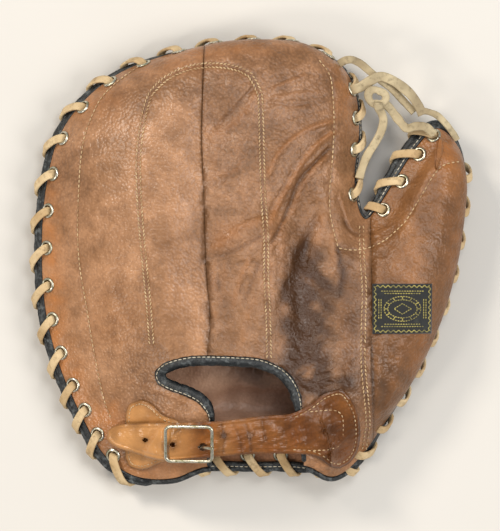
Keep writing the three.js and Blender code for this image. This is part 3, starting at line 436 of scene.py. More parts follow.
def gloveLeather(name, colour, pale, dark, rubbed, roughness=0.56, relief=0.85):
    material, tree, shader, place = newMaterial(name, roughness, ior=1.44)
    look = leatherLook
    dark = hexColour(dark)
    rubAndLight = painted(tree, "rubAndLight")
    mottle = noise(tree, place, look["mottle"], 8.0, 0.62)
    cloud = noise(tree, place, look["cloud"], 4.0)
    crease = noise(tree, place, look["creases"], 7.0, 0.5, 0.2)
    speck = noise(tree, place, look["speck"], 3.0)
    grain = addNode(tree, "ShaderNodeTexVoronoi", {"Vector": place, "Scale": look["grain"]},
                    feature="SMOOTH_F1").outputs["Distance"]
    pores = combine(tree, "MULTIPLY", spread(tree, grain, 0.25, 0.6, 0.0, 0.32),
                    spread(tree, cloud, 0.4, 0.6, 0.35, 1.0))
    base = mixColour(tree, spread(tree, mottle, 0.4, 0.62), hexColour(colour), hexColour(pale))
    # the crease noise darkens the colour where its wrinkles sink: painted shade in the fine creases
    for share in (spread(tree, cloud, 0.46, 0.62, 0.0, 0.3), spread(tree, crease, 0.5, 0.34, 0.0, 0.22),
                  spread(tree, speck, 0.54, 0.7, 0.0, 0.18), pores):
        base = mixColour(tree, share, base, dark)
    # next, rubbed orange where the painted attribute says: wear along the edges, painted highlights on crests and
    # ridges, and painted light at the strap's left tip
    base = mixColour(tree, rubAndLight, base, hexColour(rubbed))
    # then darker where the other painted attribute says: dirt and handling, and painted shade in valleys, creases and
    # along the thumb panel's edge
    base = mixColour(tree, painted(tree, "stainAndShade"), base, dark)
    rough = combine(tree, "SUBTRACT", spread(tree, mottle, 0.3, 0.7, roughness + 0.08, roughness - 0.12),
                    spread(tree, rubAndLight, 0.0, 1.0, 0.0, 0.1))
    wrinkle = combine(tree, "MULTIPLY", spread(tree, crease, 0.34, 0.6, 0.0, look["creaseHeight"]),
                      spread(tree, painted(tree, "crumple"), 0.0, 1.0, 0.12, 1.5))
    height = combine(tree, "ADD", spread(tree, grain, 0.0, 0.7, look["grainHeight"], 0.0), wrinkle)
    intoShader(tree, shader, base, height, relief, look["distance"], rough)
    return material


# Rawhide lace: cut hide, dry and fibrous, so matt, with dark streaks and paler rubbed patches
def rawhideLace(name, colour, pale, dark):
    material, tree, shader, place = newMaterial(name, 0.78)
    streak = noise(tree, place, 260.0, 6.0, 0.65)
    base = mixColour(tree, spread(tree, noise(tree, place, 55.0, 3.0), 0.35, 0.65), hexColour(colour), hexColour(pale))
    base = mixColour(tree, spread(tree, streak, 0.52, 0.74, 0.0, 0.75), base, hexColour(dark))
    intoShader(tree, shader, base, streak, 0.6, 0.0006)
    return material


# Black-dyed binding leather with a waxed finish: dark, semi-gloss, greyed where the dye has rubbed off
def bindingLeather(name, colour, worn):
    material, tree, shader, place = newMaterial(name, 0.42)
    fine = noise(tree, place, 330.0, 6.0, 0.6)
    rubbed = combine(tree, "MULTIPLY", spread(tree, fine, 0.48, 0.62),
                     spread(tree, noise(tree, place, 190.0, 5.0), 0.36, 0.6))
    intoShader(tree, shader, mixColour(tree, rubbed, hexColour(colour), hexColour(worn)), fine, 0.9, 0.0009,
           spread(tree, fine, 0.3, 0.7, 0.34, 0.58))
    return material


# Cast nickel-plated brass: a soft mirror gone dull, with greenish tarnish in patches
def tarnishedNickel(name, bright, tarnish):
    material, tree, shader, place = newMaterial(name, 0.32, metallic=1.0)
    spots = noise(tree, place, 420.0, 5.0, 0.6)
    intoShader(tree, shader, mixColour(tree, spread(tree, spots, 0.46, 0.66), hexColour(bright), hexColour(tarnish)),
           roughness=spread(tree, spots, 0.35, 0.7, 0.24, 0.5))
    return material


# Waxed cotton thread: matt, a little fuzzy, dirtied
def waxedThread(name, colour, dirty):
    material, tree, shader, place = newMaterial(name, 0.8, sheen=0.2)
    twist = spread(tree, noise(tree, place, 160.0, 3.0), 0.4, 0.65)
    intoShader(tree, shader, mixColour(tree, twist, hexColour(colour), hexColour(dirty)))
    return material


# Woven rayon label cloth: a fine plain weave, drawn at 0.7 mm a thread so that it shows
def labelCloth(name, colour, lint):
    material, tree, shader, place = newMaterial(name, 0.85, sheen=0.3)
    warp, weft = (addNode(tree, "ShaderNodeTexWave", {"Vector": place, "Scale": 450.0, "Distortion": 0.4},
                          bands_direction=way).outputs["Fac"] for way in ("X", "Y"))
    weave = combine(tree, "MULTIPLY", warp, weft)
    fluff = noise(tree, place, 180.0, 6.0)
    base = mixColour(tree, spread(tree, weave, 0.1, 0.9, 0.0, 0.5), hexColour(colour), hexColour(lint))
    base = mixColour(tree, spread(tree, fluff, 0.56, 0.72, 0.0, 0.45), base, hexColour(lint))
    intoShader(tree, shader, base, weave, 0.5, 0.0003)
    return material


# Painted board under the mitt: pale and matt
def paleBoard(name, colour, darker):
    material, tree, shader, place = newMaterial(name, 0.9)
    tone = spread(tree, noise(tree, place, 8.0, 3.0), 0.3, 0.7, 0.0, 0.25)
    intoShader(tree, shader, mixColour(tree, tone, hexColour(colour), hexColour(darker)))
    return material


backSkin = gloveLeather("glove leather, tan", "#936946", "#b78863", "#402714", "#b5743d", 0.38)
thumbSkin = gloveLeather("glove leather, darkened", "#8e5f37", "#a87346", "#4c321c", "#ae6f3a", 0.4)
palmSkin = gloveLeather("glove leather, palm", "#8f6040", "#a0704e", "#4b301e", "#a46a38", 0.58)
# the lining's colours are lightened: painted light that offsets the shade it lies in under the back
liningSkin = gloveLeather("lining sheepskin", "#bd9377", "#cda389", "#86604a", "#d0a587", 0.5, 0.5)
strapSkin = gloveLeather("bridle leather, russet", "#804716", "#985a22", "#432408", "#d2985c", 0.36, 0.3)
blackSkin = bindingLeather("binding leather, black", "#14181a", "#575c5d")
laceHide = rawhideLace("rawhide", "#b89a6e", "#d8c096", "#7c6242")
webHide = rawhideLace("rawhide, greyed", "#98886a", "#c0b08d", "#5a4d38")
nickel = tarnishedNickel("nickel plate, tarnished", "#cfcbbb", "#8b8a6a")
paleThread = waxedThread("cotton thread, tan", "#cdb086", "#9a7650")
whiteThread = waxedThread("cotton thread, undyed", "#cfc8b4", "#96866b")
goldThread = waxedThread("rayon thread, olive gold", "#a89c54", "#6e673a")
labelBlack = labelCloth("label cloth, black", "#17191c", "#3b3d36")
print("materials ready")


# The leather's edge and the frames that stand on it
def edgeFrames(place, layer):
    # edge point, tangent, the way into the leather up its slope, the way out of it, and the goal beside the spine
    row = tableCurve(edgeTable, place)
    travel = (tableCurve(edgeTable, place + 0.004) - tableCurve(edgeTable, place - 0.004))[:, :2] * planSize
    flat = unit(travel)
    zero = np.zeros(len(row))
    tangent = np.stack([flat[:, 0], flat[:, 1], zero], 1)
    inward = np.stack([-flat[:, 1], flat[:, 0], zero], 1)
    up = np.array([[0.0, 0.0, 1.0]])
    slope = np.radians(row[:, 3])[:, None]
    edge = np.stack([*(row[:, :2] * planSize).T, row[:, 2] * mitt["crown"]], 1)
    if layer == "back":
        edge[:, 2] += np.maximum(row[:, 4], 0) * mitt["crown"]
    else:
        edge += inward * np.maximum(row[:, 5], 0)[:, None] * mitt["length"]
    into = inward * np.cos(slope) + up * np.sin(slope)
    out = -inward * np.sin(slope) + up * np.cos(slope)
    spine = tableCurve(spineTable, row[:, 7], False)
    centre = np.stack([*(spine[:, :2] * planSize).T, zero], 1)
    side = unit((edge - centre) * [1, 1, 0])
    goal = centre + side * spine[:, 4:5] * mitt["spineHalf"]
    return {"edge": edge, "tangent": tangent, "into": into, "out": out, "centre": centre, "goal": goal,
            "crown": spine[:, 2], "pocket": spine[:, 3], "welt": row[:, 6], "lift": np.maximum(row[:, 4], 0)}


rulerPlaces = np.linspace(0, 1, 741)
rulerPoints = tableCurve(edgeTable, rulerPlaces)[:, :2] * planSize
rulerArcs = lengthUpTo(rulerPoints)
edgeLength = rulerArcs[-1]


def placeOfArc(arc):
    # place in the edge table (one for the whole round) at a length of edge from its first row
    turns = np.floor(arc / edgeLength)
    return turns + np.interp(arc - turns * edgeLength, rulerArcs, rulerPlaces)


rulerFrames = edgeFrames(rulerPlaces[:-1], "palm")
rulerHoles = (rulerFrames["edge"] + rulerFrames["into"] * mitt["holeInset"])[:, :2]


def arcOfHole(across, along):
    # arc at which a lace hole lies nearest to the point
    target = np.array([across, along]) * planSize
    return rulerArcs[np.argmin(np.linalg.norm(rulerHoles - target, axis=1))]


# across, along, steps, ringed: runs of lace holes, each up to the start of the next
holeRuns = [
    (0.16, 0.442, 12, 1), (-0.468, -0.05, 3, 1), (-0.405, -0.275, 3, 1), (-0.308, -0.42, 1, 1),
    (-0.219, -0.465, 1, 0), (-0.142, -0.455, 1, 0), (-0.09, -0.43, 1, 0), (-0.01, -0.43, 1, 1),
    (0.065, -0.43, 1, 1), (0.14, -0.44, 1, 0), (0.183, -0.457, 1, 0), (0.236, -0.428, 1, 0),
    (0.283, -0.372, 9, 0),
]
runStarts = [arcOfHole(run[0], run[1]) for run in holeRuns] + [arcOfHole(0.455, 0.25)]
edgeHoles = []
ringedArcs = []
for run, start, end in zip(holeRuns, runStarts[:-1], runStarts[1:]):
    arcs = start + ((end - start) % edgeLength) * np.arange(run[2]) / run[2]
    edgeHoles += arcs.tolist()
    ringedArcs += arcs.tolist() if run[3] else []
thumbHoles = [arcOfHole(*spot) for spot in ((0.42, 0.272), (0.385, 0.236), (0.349, 0.172), (0.304, 0.112))]
fingerHoles = [arcOfHole(*spot) for spot in ((0.23, 0.147), (0.231, 0.248), (0.226, 0.316), (0.221, 0.381))]
ringedArcs += thumbHoles + fingerHoles


# Lines drawn on the back, in pixels of the photograph
backLines = {
    "buttSeam": [(206, 38), (204, 47), (202, 118), (202, 152), (204, 194), (206, 264), (210, 316), (208, 353),
                 (208, 380)],
    "archLeft": [(152, 344), (149, 304), (145, 264), (141, 220), (139, 186), (139, 152), (144, 115), (150, 95),
                 (156, 87), (169, 76), (188, 68), (207, 65), (226, 66), (239, 69), (249, 74), (256, 85), (260, 95),
                 (261, 116), (262, 155), (263, 193), (266, 239), (266, 276), (268, 315), (269, 358)],
    "leftLine": [(139, 64), (118, 79), (101, 96), (92, 113), (84, 135), (80, 161), (78, 194), (77, 228), (79, 264),
                 (86, 307), (93, 350), (102, 396), (110, 419)],
    "fingerLine": [(319, 59), (328, 71), (332, 84), (334, 118), (333, 152), (330, 186), (330, 211), (333, 228),
                   (338, 247)],
    "webLine": [(338, 248), (352, 250), (368, 248), (385, 240), (402, 225), (409, 216), (426, 188), (436, 172),
                (446, 164), (461, 161)],
    "thumbLine": [(362, 225), (362, 254), (364, 289), (363, 328), (363, 366), (368, 418), (367, 435), (365, 452)],
    "thumbEdge": [(371, 214), (371, 254), (372, 300), (371, 340), (372, 380), (374, 440), (370, 466)],
    "darkCrease": [(338, 247), (341, 262), (342, 276), (342, 296)],
}
lineCurves = {name: fromPhoto(evenCurve(points, 60)) for name, points in backLines.items()}

# Creases and folds: points in pixels, half width in pixels, height in millimetres (below zero: a valley)
creaseTable = [
    ([(333, 121), (314, 127), (294, 138), (277, 156), (269, 173)], 3.2, 1.3),
    ([(333, 133), (318, 144), (302, 163), (291, 182), (279, 203), (271, 223)], 3.4, 1.5),
    ([(329, 148), (314, 163), (298, 182), (289, 205), (279, 228), (271, 242)], 2.6, -1.5),
    ([(326, 158), (312, 172), (300, 192), (292, 214)], 3.2, 0.9),
    ([(304, 75), (288, 82), (271, 89)], 2.4, 0.7), ([(310, 104), (290, 105), (271, 102)], 2.4, -0.6),
    ([(318, 92), (296, 94), (274, 97)], 2.6, 0.5), ([(252, 89), (241, 102), (229, 115), (216, 125)], 2.8, -0.9),
    ([(256, 95), (246, 110), (232, 124), (214, 134)], 4, 0.8), ([(239, 169), (228, 173), (216, 175)], 2, 0.7),
    ([(258, 221), (239, 228), (224, 240), (212, 248)], 4.2, 1.1),
    ([(262, 236), (247, 244), (229, 253), (218, 255)], 2.6, -1.1),
    ([(215, 260), (214, 290), (215, 322)], 2.2, 0.9), ([(224, 262), (224, 282), (221, 302)], 2.2, 0.9),
    ([(219, 262), (219, 284), (218, 300)], 1.6, -0.8), ([(250, 259), (241, 278), (233, 305)], 2.6, 1.2),
    ([(260, 261), (252, 282), (245, 301)], 2.6, -1.0), ([(255, 300), (247, 318), (243, 342)], 3.4, 0.6),
    ([(214, 332), (224, 330), (229, 342)], 2.4, 0.6), ([(231, 312), (236, 330), (232, 352)], 3, -0.5),
    ([(314, 223), (302, 251), (291, 280), (279, 309)], 5.5, -1.2), ([(322, 218), (314, 250), (302, 288)], 5, 0.8),
    ([(306, 250), (301, 290), (306, 330), (304, 352)], 10, -1.6),
    ([(282, 225), (283, 262), (286, 305), (284, 345)], 4, 0.6),
    ([(292, 300), (300, 330), (298, 362)], 3, -0.7), ([(312, 330), (309, 352), (313, 378)], 3, 0.7),
    ([(340, 300), (345, 340), (348, 378)], 4, 0.7), ([(337, 250), (340, 270), (342, 292), (341, 312)], 2.2, -1.1),
    ([(331, 236), (333, 256), (334, 274)], 2.2, 0.7), ([(348, 262), (352, 310), (352, 362)], 4, -0.6),
    ([(206, 130), (214, 150), (212, 180)], 3, 0.5), ([(240, 185), (246, 205), (243, 218)], 3, 0.4),
    ([(213, 196), (228, 204), (238, 216)], 2.4, -0.4), ([(222, 136), (236, 150), (240, 164)], 3, 0.4),
    ([(120, 240), (116, 275), (122, 310)], 8, -0.4), ([(170, 250), (176, 290), (170, 330)], 10, -0.4),
    ([(112, 388), (130, 382), (160, 392), (190, 404)], 3.2, 0.4), ([(125, 352), (150, 362), (176, 352)], 4, -0.2),
    ([(150, 368), (140, 380), (128, 396)], 3, -0.25), ([(384, 255), (388, 300), (386, 350), (384, 400)], 6, -0.7),
    ([(436, 180), (430, 220), (434, 262)], 9, -0.5), ([(404, 345), (398, 375), (388, 405)], 5, 0.6),
    ([(345, 222), (352, 232), (362, 236)], 2.4, -0.8), ([(340, 196), (346, 212), (350, 226)], 2.4, 0.6),
    ([(304, 378), (322, 382), (346, 380)], 2.6, -0.7), ([(300, 366), (322, 370), (344, 368)], 3, 0.6),
    ([(352, 236), (372, 236), (392, 226)], 3, 0.5), ([(336, 170), (344, 176), (352, 178)], 1.8, 0.4),
]
creaseCurves = [(fromPhoto(evenCurve(points, 16)), (0.8 if half < 4 else 0.95) * half * pixel, 1.12 * height)
                for points, half, height in creaseTable]


# depth and half width in millimetres of the groove in which a row of stitches lies
seamGrooves = [
    ("archLeft", 0.6, 1.3), ("leftLine", 0.45, 1.1), ("fingerLine", 0.5, 1.2), ("webLine", 0.4, 1.1),
    ("thumbLine", 0.6, 1.5),
]
# height in millimetres, size in millimetres and seed of the unevenness: over all of the back, then where crumpled
smoothWaves = [(0.28, 46, 3), (0.14, 19, 4), (0.06, 7, 5)]
crumpledWaves = [(0.22, 9, 6), (0.12, 4.5, 7)]


def waves(points, table):
    return sum(height * unevenness(points, size, seed) for height, size, seed in table)


def sculpt(points):
    # height in millimetres that folds, seams and unevenness add to the back at each point of the plan: a fold is
    # rise (exp(-(s/h)^2) - 0.5 exp(-((s+1.3h)/0.6h)^2)) for the signed distance s, so one flank is the steeper
    height = np.zeros(len(points))
    for line, half, rise in creaseCurves:
        distance, side = lineDistance(points, line)
        signed = side * distance
        height += rise * (bell(distance, half) - 0.5 * bell(signed + 1.3 * half, 0.6 * half))
    for name, depth, half in seamGrooves:
        distance = away(points, lineCurves[name])
        height -= depth * bell(distance, half)
        height += 0.4 * depth * bell(distance - 3.4 * half, 2.2 * half)
    height -= 0.5 * bell(away(points, lineCurves["buttSeam"]), 0.8)
    distance, side = lineDistance(points, lineCurves["thumbEdge"])
    height += np.where(side < 0, 0.2, -1.3) * bell(distance, 3.2)
    return height + waves(points, smoothWaves) + crumple(points) * waves(points, crumpledWaves)


def crumple(points):
    # how wrinkled the leather is: smooth over the padded left, crumpled between the seams on the right
    spots = toPhoto(points)
    inside = smoothStep(spots[:, 0], 203, 216) * (1 - 0.6 * smoothStep(spots[:, 0], 330, 350))
    return 0.15 + 0.85 * inside * (0.45 + 0.55 * smoothStep(spots[:, 1], 90, 240))


def dents(points):
    # height that the dents of the solids add: rise exp(-(distance / width)^2) from each dent's line
    height = np.zeros(len(points))
    for row in dentTable:
        distance = away(points, row[:4].reshape(2, 2) * planSize)
        height += row[5] * mitt["crown"] * bell(distance, row[4] * mitt["width"])
    return height


spineSpots = 84                               # points on the spine, each met by columns from both sides
flapCorner = np.array([0.165, -0.4])          # where the columns of the right flap cross closest


def backSheet(columns, steps):
    # flange, then a cubic curve (1-t)^3 p0 + 3(1-t)^2 t p1 + 3(1-t) t^2 p2 + t^3 p3 up to the spine, then level
    arcs = np.arange(columns) / columns * edgeLength
    frames = edgeFrames(placeOfArc(arcs), "back")
    top, into, out = flangeTop, frames["into"], frames["out"]
    rolls = [(0.0, top - 1.5), (0.0, top - 0.7), (0.3, top - 0.2), (0.9, top)]
    rolls += [(s, top) for s in (2.0, 3.1, 4.2, 5.3, 6.4, 7.5, 8.5)]
    rings = [frames["edge"] + s * into + m * out for s, m in rolls]
    start = frames["edge"] + mitt["flange"] * into + top * out
    goal = frames["goal"].copy()
    goal[:, 2] = frames["crown"] * mitt["crown"]
    run = (goal - start) * [1, 1, 0]
    reach = np.linalg.norm(run, axis=1, keepdims=True)
    climb = np.maximum(goal[:, 2:] - start[:, 2:], 1)
    steep = np.maximum(into[:, 2:], 0.35)
    first = start + into * np.minimum(0.35 * reach, 0.6 * climb / steep)
    last = goal - unit(run) * 0.5 * reach
    for t in np.linspace(0, 1, steps):
        point = (1 - t) ** 3 * start + 3 * (1 - t) ** 2 * t * first + 3 * (1 - t) * t ** 2 * last + t ** 3 * goal
        point[:, 2] += dents(point[:, :2]) * min(1, 2.2 * t)
        rings.append(point)
    spine = frames["centre"].copy()
    for share in (0.35, 0.7):
        middle = goal + (spine - goal) * share
        middle[:, 2] = goal[:, 2] + dents(middle[:, :2])
        rings.append(middle)
    rows = tableCurve(edgeTable, placeOfArc(arcs))[:, 7]
    snapped = tableCurve(spineTable, np.round(np.clip(rows, 0, 1) * spineSpots) / spineSpots, False)
    spine[:, :2] = snapped[:, :2] * planSize
    spine[:, 2] = snapped[:, 2] * mitt["crown"] + dents(spine[:, :2])
    rings.append(spine)
    points = np.stack(rings, 1)
    depth = points.shape[1]
    flat = points.reshape(-1, 3)
    faces = gridFaces(columns, depth)
    knots = np.round(np.clip(rows, 0, 1) * spineSpots).astype(int)
    first, number = np.unique(knots, return_index=True, return_inverse=True)[1:]
    merged = np.arange(len(flat))
    ends = first * depth + depth - 1
    merged[np.arange(columns) * depth + depth - 1] = ends[number]
    faces = merged[faces]
    patches = []                                  # triangles over spine points that a column steps past
    for j in np.flatnonzero(np.abs(np.roll(number, -1) - number) > 1):
        here, there = number[j], number[(j + 1) % columns]
        passed = ends[there:here:1 if there < here else -1]
        patches += [(ends[here], passed[n], passed[n + 1], passed[n + 1]) for n in range(len(passed) - 1)]
    faces = np.vstack([faces, np.array(patches, int).reshape(-1, 4)])
    corner = np.linalg.norm(flat[:, :2] - flapCorner * planSize, axis=1)
    flat = relaxed(flat, faces, np.arange(len(flat)) % depth > 13, np.minimum(spineDistance(flat), 0.75 * corner))
    inner = np.tile(smoothStep(np.arange(depth), 5, 17), columns)
    flat[:, 2] += sculpt(flat[:, :2]) * inner
    return flat, faces


def spineDistance(points):
    # distance in plan from the spine
    return away(points[:, :2], planCurve(spineTable[:, :2], 60))


def relaxed(points, faces, free, distance):
    # each free point near the spine moves to the mean of its neighbours, many times over
    pairs = sidesOf(faces)
    pairs = pairs[pairs[:, 0] != pairs[:, 1]]
    pairs = np.concatenate([pairs, pairs[:, ::-1]])
    count = np.maximum(np.bincount(pairs[:, 0], minlength=len(points)), 1)
    weight = (free * 0.7 * bell(distance, 13))[:, None]
    for step in range(60):
        mean = np.stack([np.bincount(pairs[:, 0], points[pairs[:, 1], axis], len(points)) for axis in range(3)], 1)
        points = points + weight * (mean / count[:, None] - points)
    return points


backPoints, backFaces = backSheet(mitt["backColumns"], mitt["backSteps"])
a, b, c, d = (backPoints[backFaces[:, n]] for n in range(4))
faceNormals = np.cross(c - a, d - b)
backNormals = np.zeros_like(backPoints)
for n in range(4):
    for axis in range(3):
        backNormals[:, axis] += np.bincount(backFaces[:, n], faceNormals[:, axis], len(backPoints))
backNormals = unit(backNormals)
print("back sheet", len(backPoints), "points")

# A plan map of the back: for each square millimetre, the point nearest to its middle
mapOrigin = np.array([-150.0, -150.0])
mapSide = 301
spots = np.floor(backPoints[:, :2] - mapOrigin).astype(int)
cells = spots[:, 0] * mapSide + spots[:, 1]
faults = np.linalg.norm(backPoints[:, :2] - mapOrigin - spots - 0.5, axis=1) + 4.0 * (backNormals[:, 2] < 0.15)
order = np.lexsort((faults, cells))
firstOf = np.unique(cells[order], return_index=True)
nearestPoint = np.full(mapSide * mapSide, -1)
nearestPoint[firstOf[0]] = order[firstOf[1]]
nearestPoint = nearestPoint.reshape(mapSide, mapSide)
for step, axis in ((1, 0), (-1, 0), (1, 1), (-1, 1)) * 14:         # empty squares take over a neighbour's point
    nearestPoint = np.where(nearestPoint < 0, np.roll(nearestPoint, step, axis), nearestPoint)


def backHeight(points):
    # height and normal of the back at points of the plan, from the tangent plane of the nearest point
    cell = np.clip(np.floor(points[:, :2] - mapOrigin).astype(int), 0, mapSide - 1)
    near = nearestPoint[cell[:, 0], cell[:, 1]]
    normal = backNormals[near].copy()
    normal[:, 2] = np.maximum(normal[:, 2], 0.3)
    normal = unit(normal)
    off = points[:, :2] - backPoints[near, :2]
    height = backPoints[near, 2] - (normal[:, 0] * off[:, 0] + normal[:, 1] * off[:, 1]) / normal[:, 2]
    return height, normal


# Hand opening, from the left flap's lower end round to the right flap's
openingShares = [
    (-0.099, -0.455), (-0.098, -0.4), (-0.093, -0.343), (-0.11, -0.309), (-0.142, -0.289), (-0.187, -0.273),
    (-0.208, -0.26), (-0.207, -0.244), (-0.19, -0.232), (-0.155, -0.222), (-0.11, -0.218), (-0.008, -0.222),
    (0.03, -0.23), (0.067, -0.249), (0.09, -0.277), (0.1, -0.305), (0.107, -0.34), (0.114, -0.395),
    (0.118, -0.445),
]
openingCurve = planCurve(openingShares, 150)
openingOutline = np.vstack([openingCurve, [openingCurve[-1, 0], -200], [openingCurve[0, 0], -200]])

middles = backPoints[backFaces].mean(1)
opened = insideOutline(middles[:, :2], openingOutline)
holeFrames = edgeFrames(placeOfArc(np.array(ringedArcs)), "back")
holeMiddles = holeFrames["edge"] + mitt["holeInset"] * holeFrames["into"] + flangeTop * holeFrames["out"]
inHole = np.zeros(len(middles), bool)
for middle in holeMiddles:
    inHole |= np.linalg.norm(middles - middle, axis=1) < 3.3
buttX = np.interp(middles[:, 1], lineCurves["buttSeam"][::-1, 1], lineCurves["buttSeam"][::-1, 0])
edgeX = np.interp(middles[:, 1], lineCurves["thumbEdge"][::-1, 1], lineCurves["thumbEdge"][::-1, 0])
notch = middles[:, 1] > 0.11 * mitt["length"]
thumbSide = np.where(notch, middles[:, 0] > 0.262 * mitt["width"], middles[:, 0] > edgeX)
leftSide = middles[:, 0] < buttX

# Where the leather is darker: x, y, reach across, reach along (pixels) and strength, mostly dirt and handling
# the strong patches over the sunken valley at (306, 322), (296, 374) and (334, 384) are partly dirt and partly painted
# shade, and those over the valley creases at (352, 310) and (345, 222) are painted shade
stainAndShadeBlobs = [
    (306, 322, 28, 62, 1.15), (300, 240, 12, 40, 0.12), (296, 374, 30, 16, 0.6), (224, 300, 12, 50, 0.22),
    (322, 290, 26, 36, 0.16), (207, 200, 4, 120, 0.12), (352, 310, 10, 80, 0.2), (400, 270, 46, 50, 0.16),
    (444, 230, 30, 50, 0.2), (395, 385, 36, 56, 0.28), (334, 384, 30, 24, 0.55), (345, 222, 8, 12, 0.2),
    (120, 402, 24, 16, 0.05), (160, 350, 30, 10, 0.05), (250, 350, 30, 9, 0.2), (215, 318, 9, 30, 0.14),
    (240, 214, 20, 50, 0.08), (120, 186, 26, 40, 0.1), (176, 176, 20, 90, 0.06), (104, 290, 30, 14, 0.1),
]
# Where it is paler and more orange: rubbed along the edges; the patch on the ridge at (226, 236) is a painted highlight
# and the broad patch at (110, 320) a painted sheen
rubAndLightBlobs = [
    (54, 330, 12, 60, 0.5), (70, 390, 14, 30, 0.6), (48, 230, 10, 70, 0.4), (96, 100, 30, 20, 0.25),
    (105, 425, 22, 22, 0.7), (160, 60, 60, 12, 0.25), (345, 90, 10, 40, 0.3), (448, 150, 16, 30, 0.5),
    (455, 250, 12, 60, 0.35), (420, 350, 12, 40, 0.35), (110, 320, 30, 40, 0.12), (150, 470, 40, 14, 0.35),
    (220, 48, 60, 8, 0.2), (338, 440, 30, 30, 0.4), (226, 236, 14, 12, 0.25), (272, 240, 10, 40, 0.15),
]


def blobs(points, table):
    # sum of round patches, strength exp(-(dx / across)^2 - (dy / along)^2)
    spots = toPhoto(points)
    total = np.zeros(len(points))
    for x, y, across, along, strength in table:
        total += strength * np.exp(-((spots[:, 0] - x) / across) ** 2 - ((spots[:, 1] - y) / along) ** 2)
    return total


# the dark line along each seam and crease: its half width in millimetres and its strength; along darkCrease it is
# painted shade in the pleat, along thumbEdge a painted shadow below the step at the thumb panel's edge
seamShades = [
    ("buttSeam", 0.9, 0.5), ("darkCrease", 1.6, 0.6), ("thumbEdge", 1.2, 0.4), ("fingerLine", 0.7, 0.16),
    ("archLeft", 1.2, 0.16), ("webLine", 0.7, 0.12), ("leftLine", 0.6, 0.12), ("thumbLine", 1.4, 0.2),
]


def paintLeather(made, points, seed, extraStain):
    # stains and rubbed places of the back for its material, with painted shade in its valleys and creases and painted
    # highlights along its crests
    stainAndShade = blobs(points, stainAndShadeBlobs) * (1 + 0.5 * unevenness(points, 14, seed)) + extraStain
    for name, half, strength in seamShades:
        distance = away(points, lineCurves[name])
        stainAndShade += strength * bell(distance, half)
    rubAndLight = blobs(points, rubAndLightBlobs) * (1 + 0.4 * unevenness(points, 9, seed + 1))
    for line, half, rise in creaseCurves:
        distance, side = lineDistance(points, line)
        near = bell(distance, half)
        # valley creases get painted shade; crests get rubbed orange that is partly wear and partly a painted highlight
        stainAndShade += (0.32 if rise < 0 else 0.0) * abs(rise) * near
        rubAndLight += (0.2 if rise > 0 else 0.06) * abs(rise) * near
    paint(made, "stainAndShade", np.clip(stainAndShade, 0, 0.96))
    paint(made, "rubAndLight", np.clip(rubAndLight, 0, 0.75))
    paint(made, "crumple", crumple(points))


def snapToLine(points, faces, otherFaces, line, gap):
    # moves the points that two panels share onto the seam between them, along the surface
    shared = np.intersect1d(faces, otherFaces)
    shared = shared[backPoints[shared, 2] > 22]
    target = np.interp(points[shared, 1], line[::-1, 1], line[::-1, 0]) + gap
    step = np.clip(target - points[shared, 0], -1.6, 1.6)
    normal = backNormals[shared]
    points[shared, 0] += step
    points[shared, 2] -= step * normal[:, 0] / np.maximum(normal[:, 2], 0.4)


def backPanel(name, slot, mask, material, seams, stainAndShade):
    # one leather panel of the back: the faces of its mask less the hand opening and the lace holes
    points = backPoints.copy()
    for other, line, gap in seams:
        snapToLine(points, backFaces[mask], backFaces[other], lineCurves[line], gap)
    kept, faces = keepFaces(points, backFaces, mask & ~opened & ~inHole)
    made = makeObject(name, kept, faces, material)
    paintLeather(made, kept[:, :2], 11, stainAndShade)
    weld(made)
    thicken(made, mitt["backLeather"])
    dress(made, slot, name.removesuffix("_leather"))


backPanel("back_left_leather", "back_leather", leftSide, backSkin, [(~leftSide, "buttSeam", -0.08)], 0.0)
backPanel("back_right_leather", "back_leather", ~leftSide & ~thumbSide, backSkin,
          [(leftSide, "buttSeam", 0.08), (thumbSide, "thumbEdge", -0.08)], 0.04)
backPanel("thumb_back_leather", "thumb_leather", thumbSide, thumbSkin,
          [(~thumbSide & ~leftSide, "thumbEdge", 0.08)], 0.16)
print("back panels done")


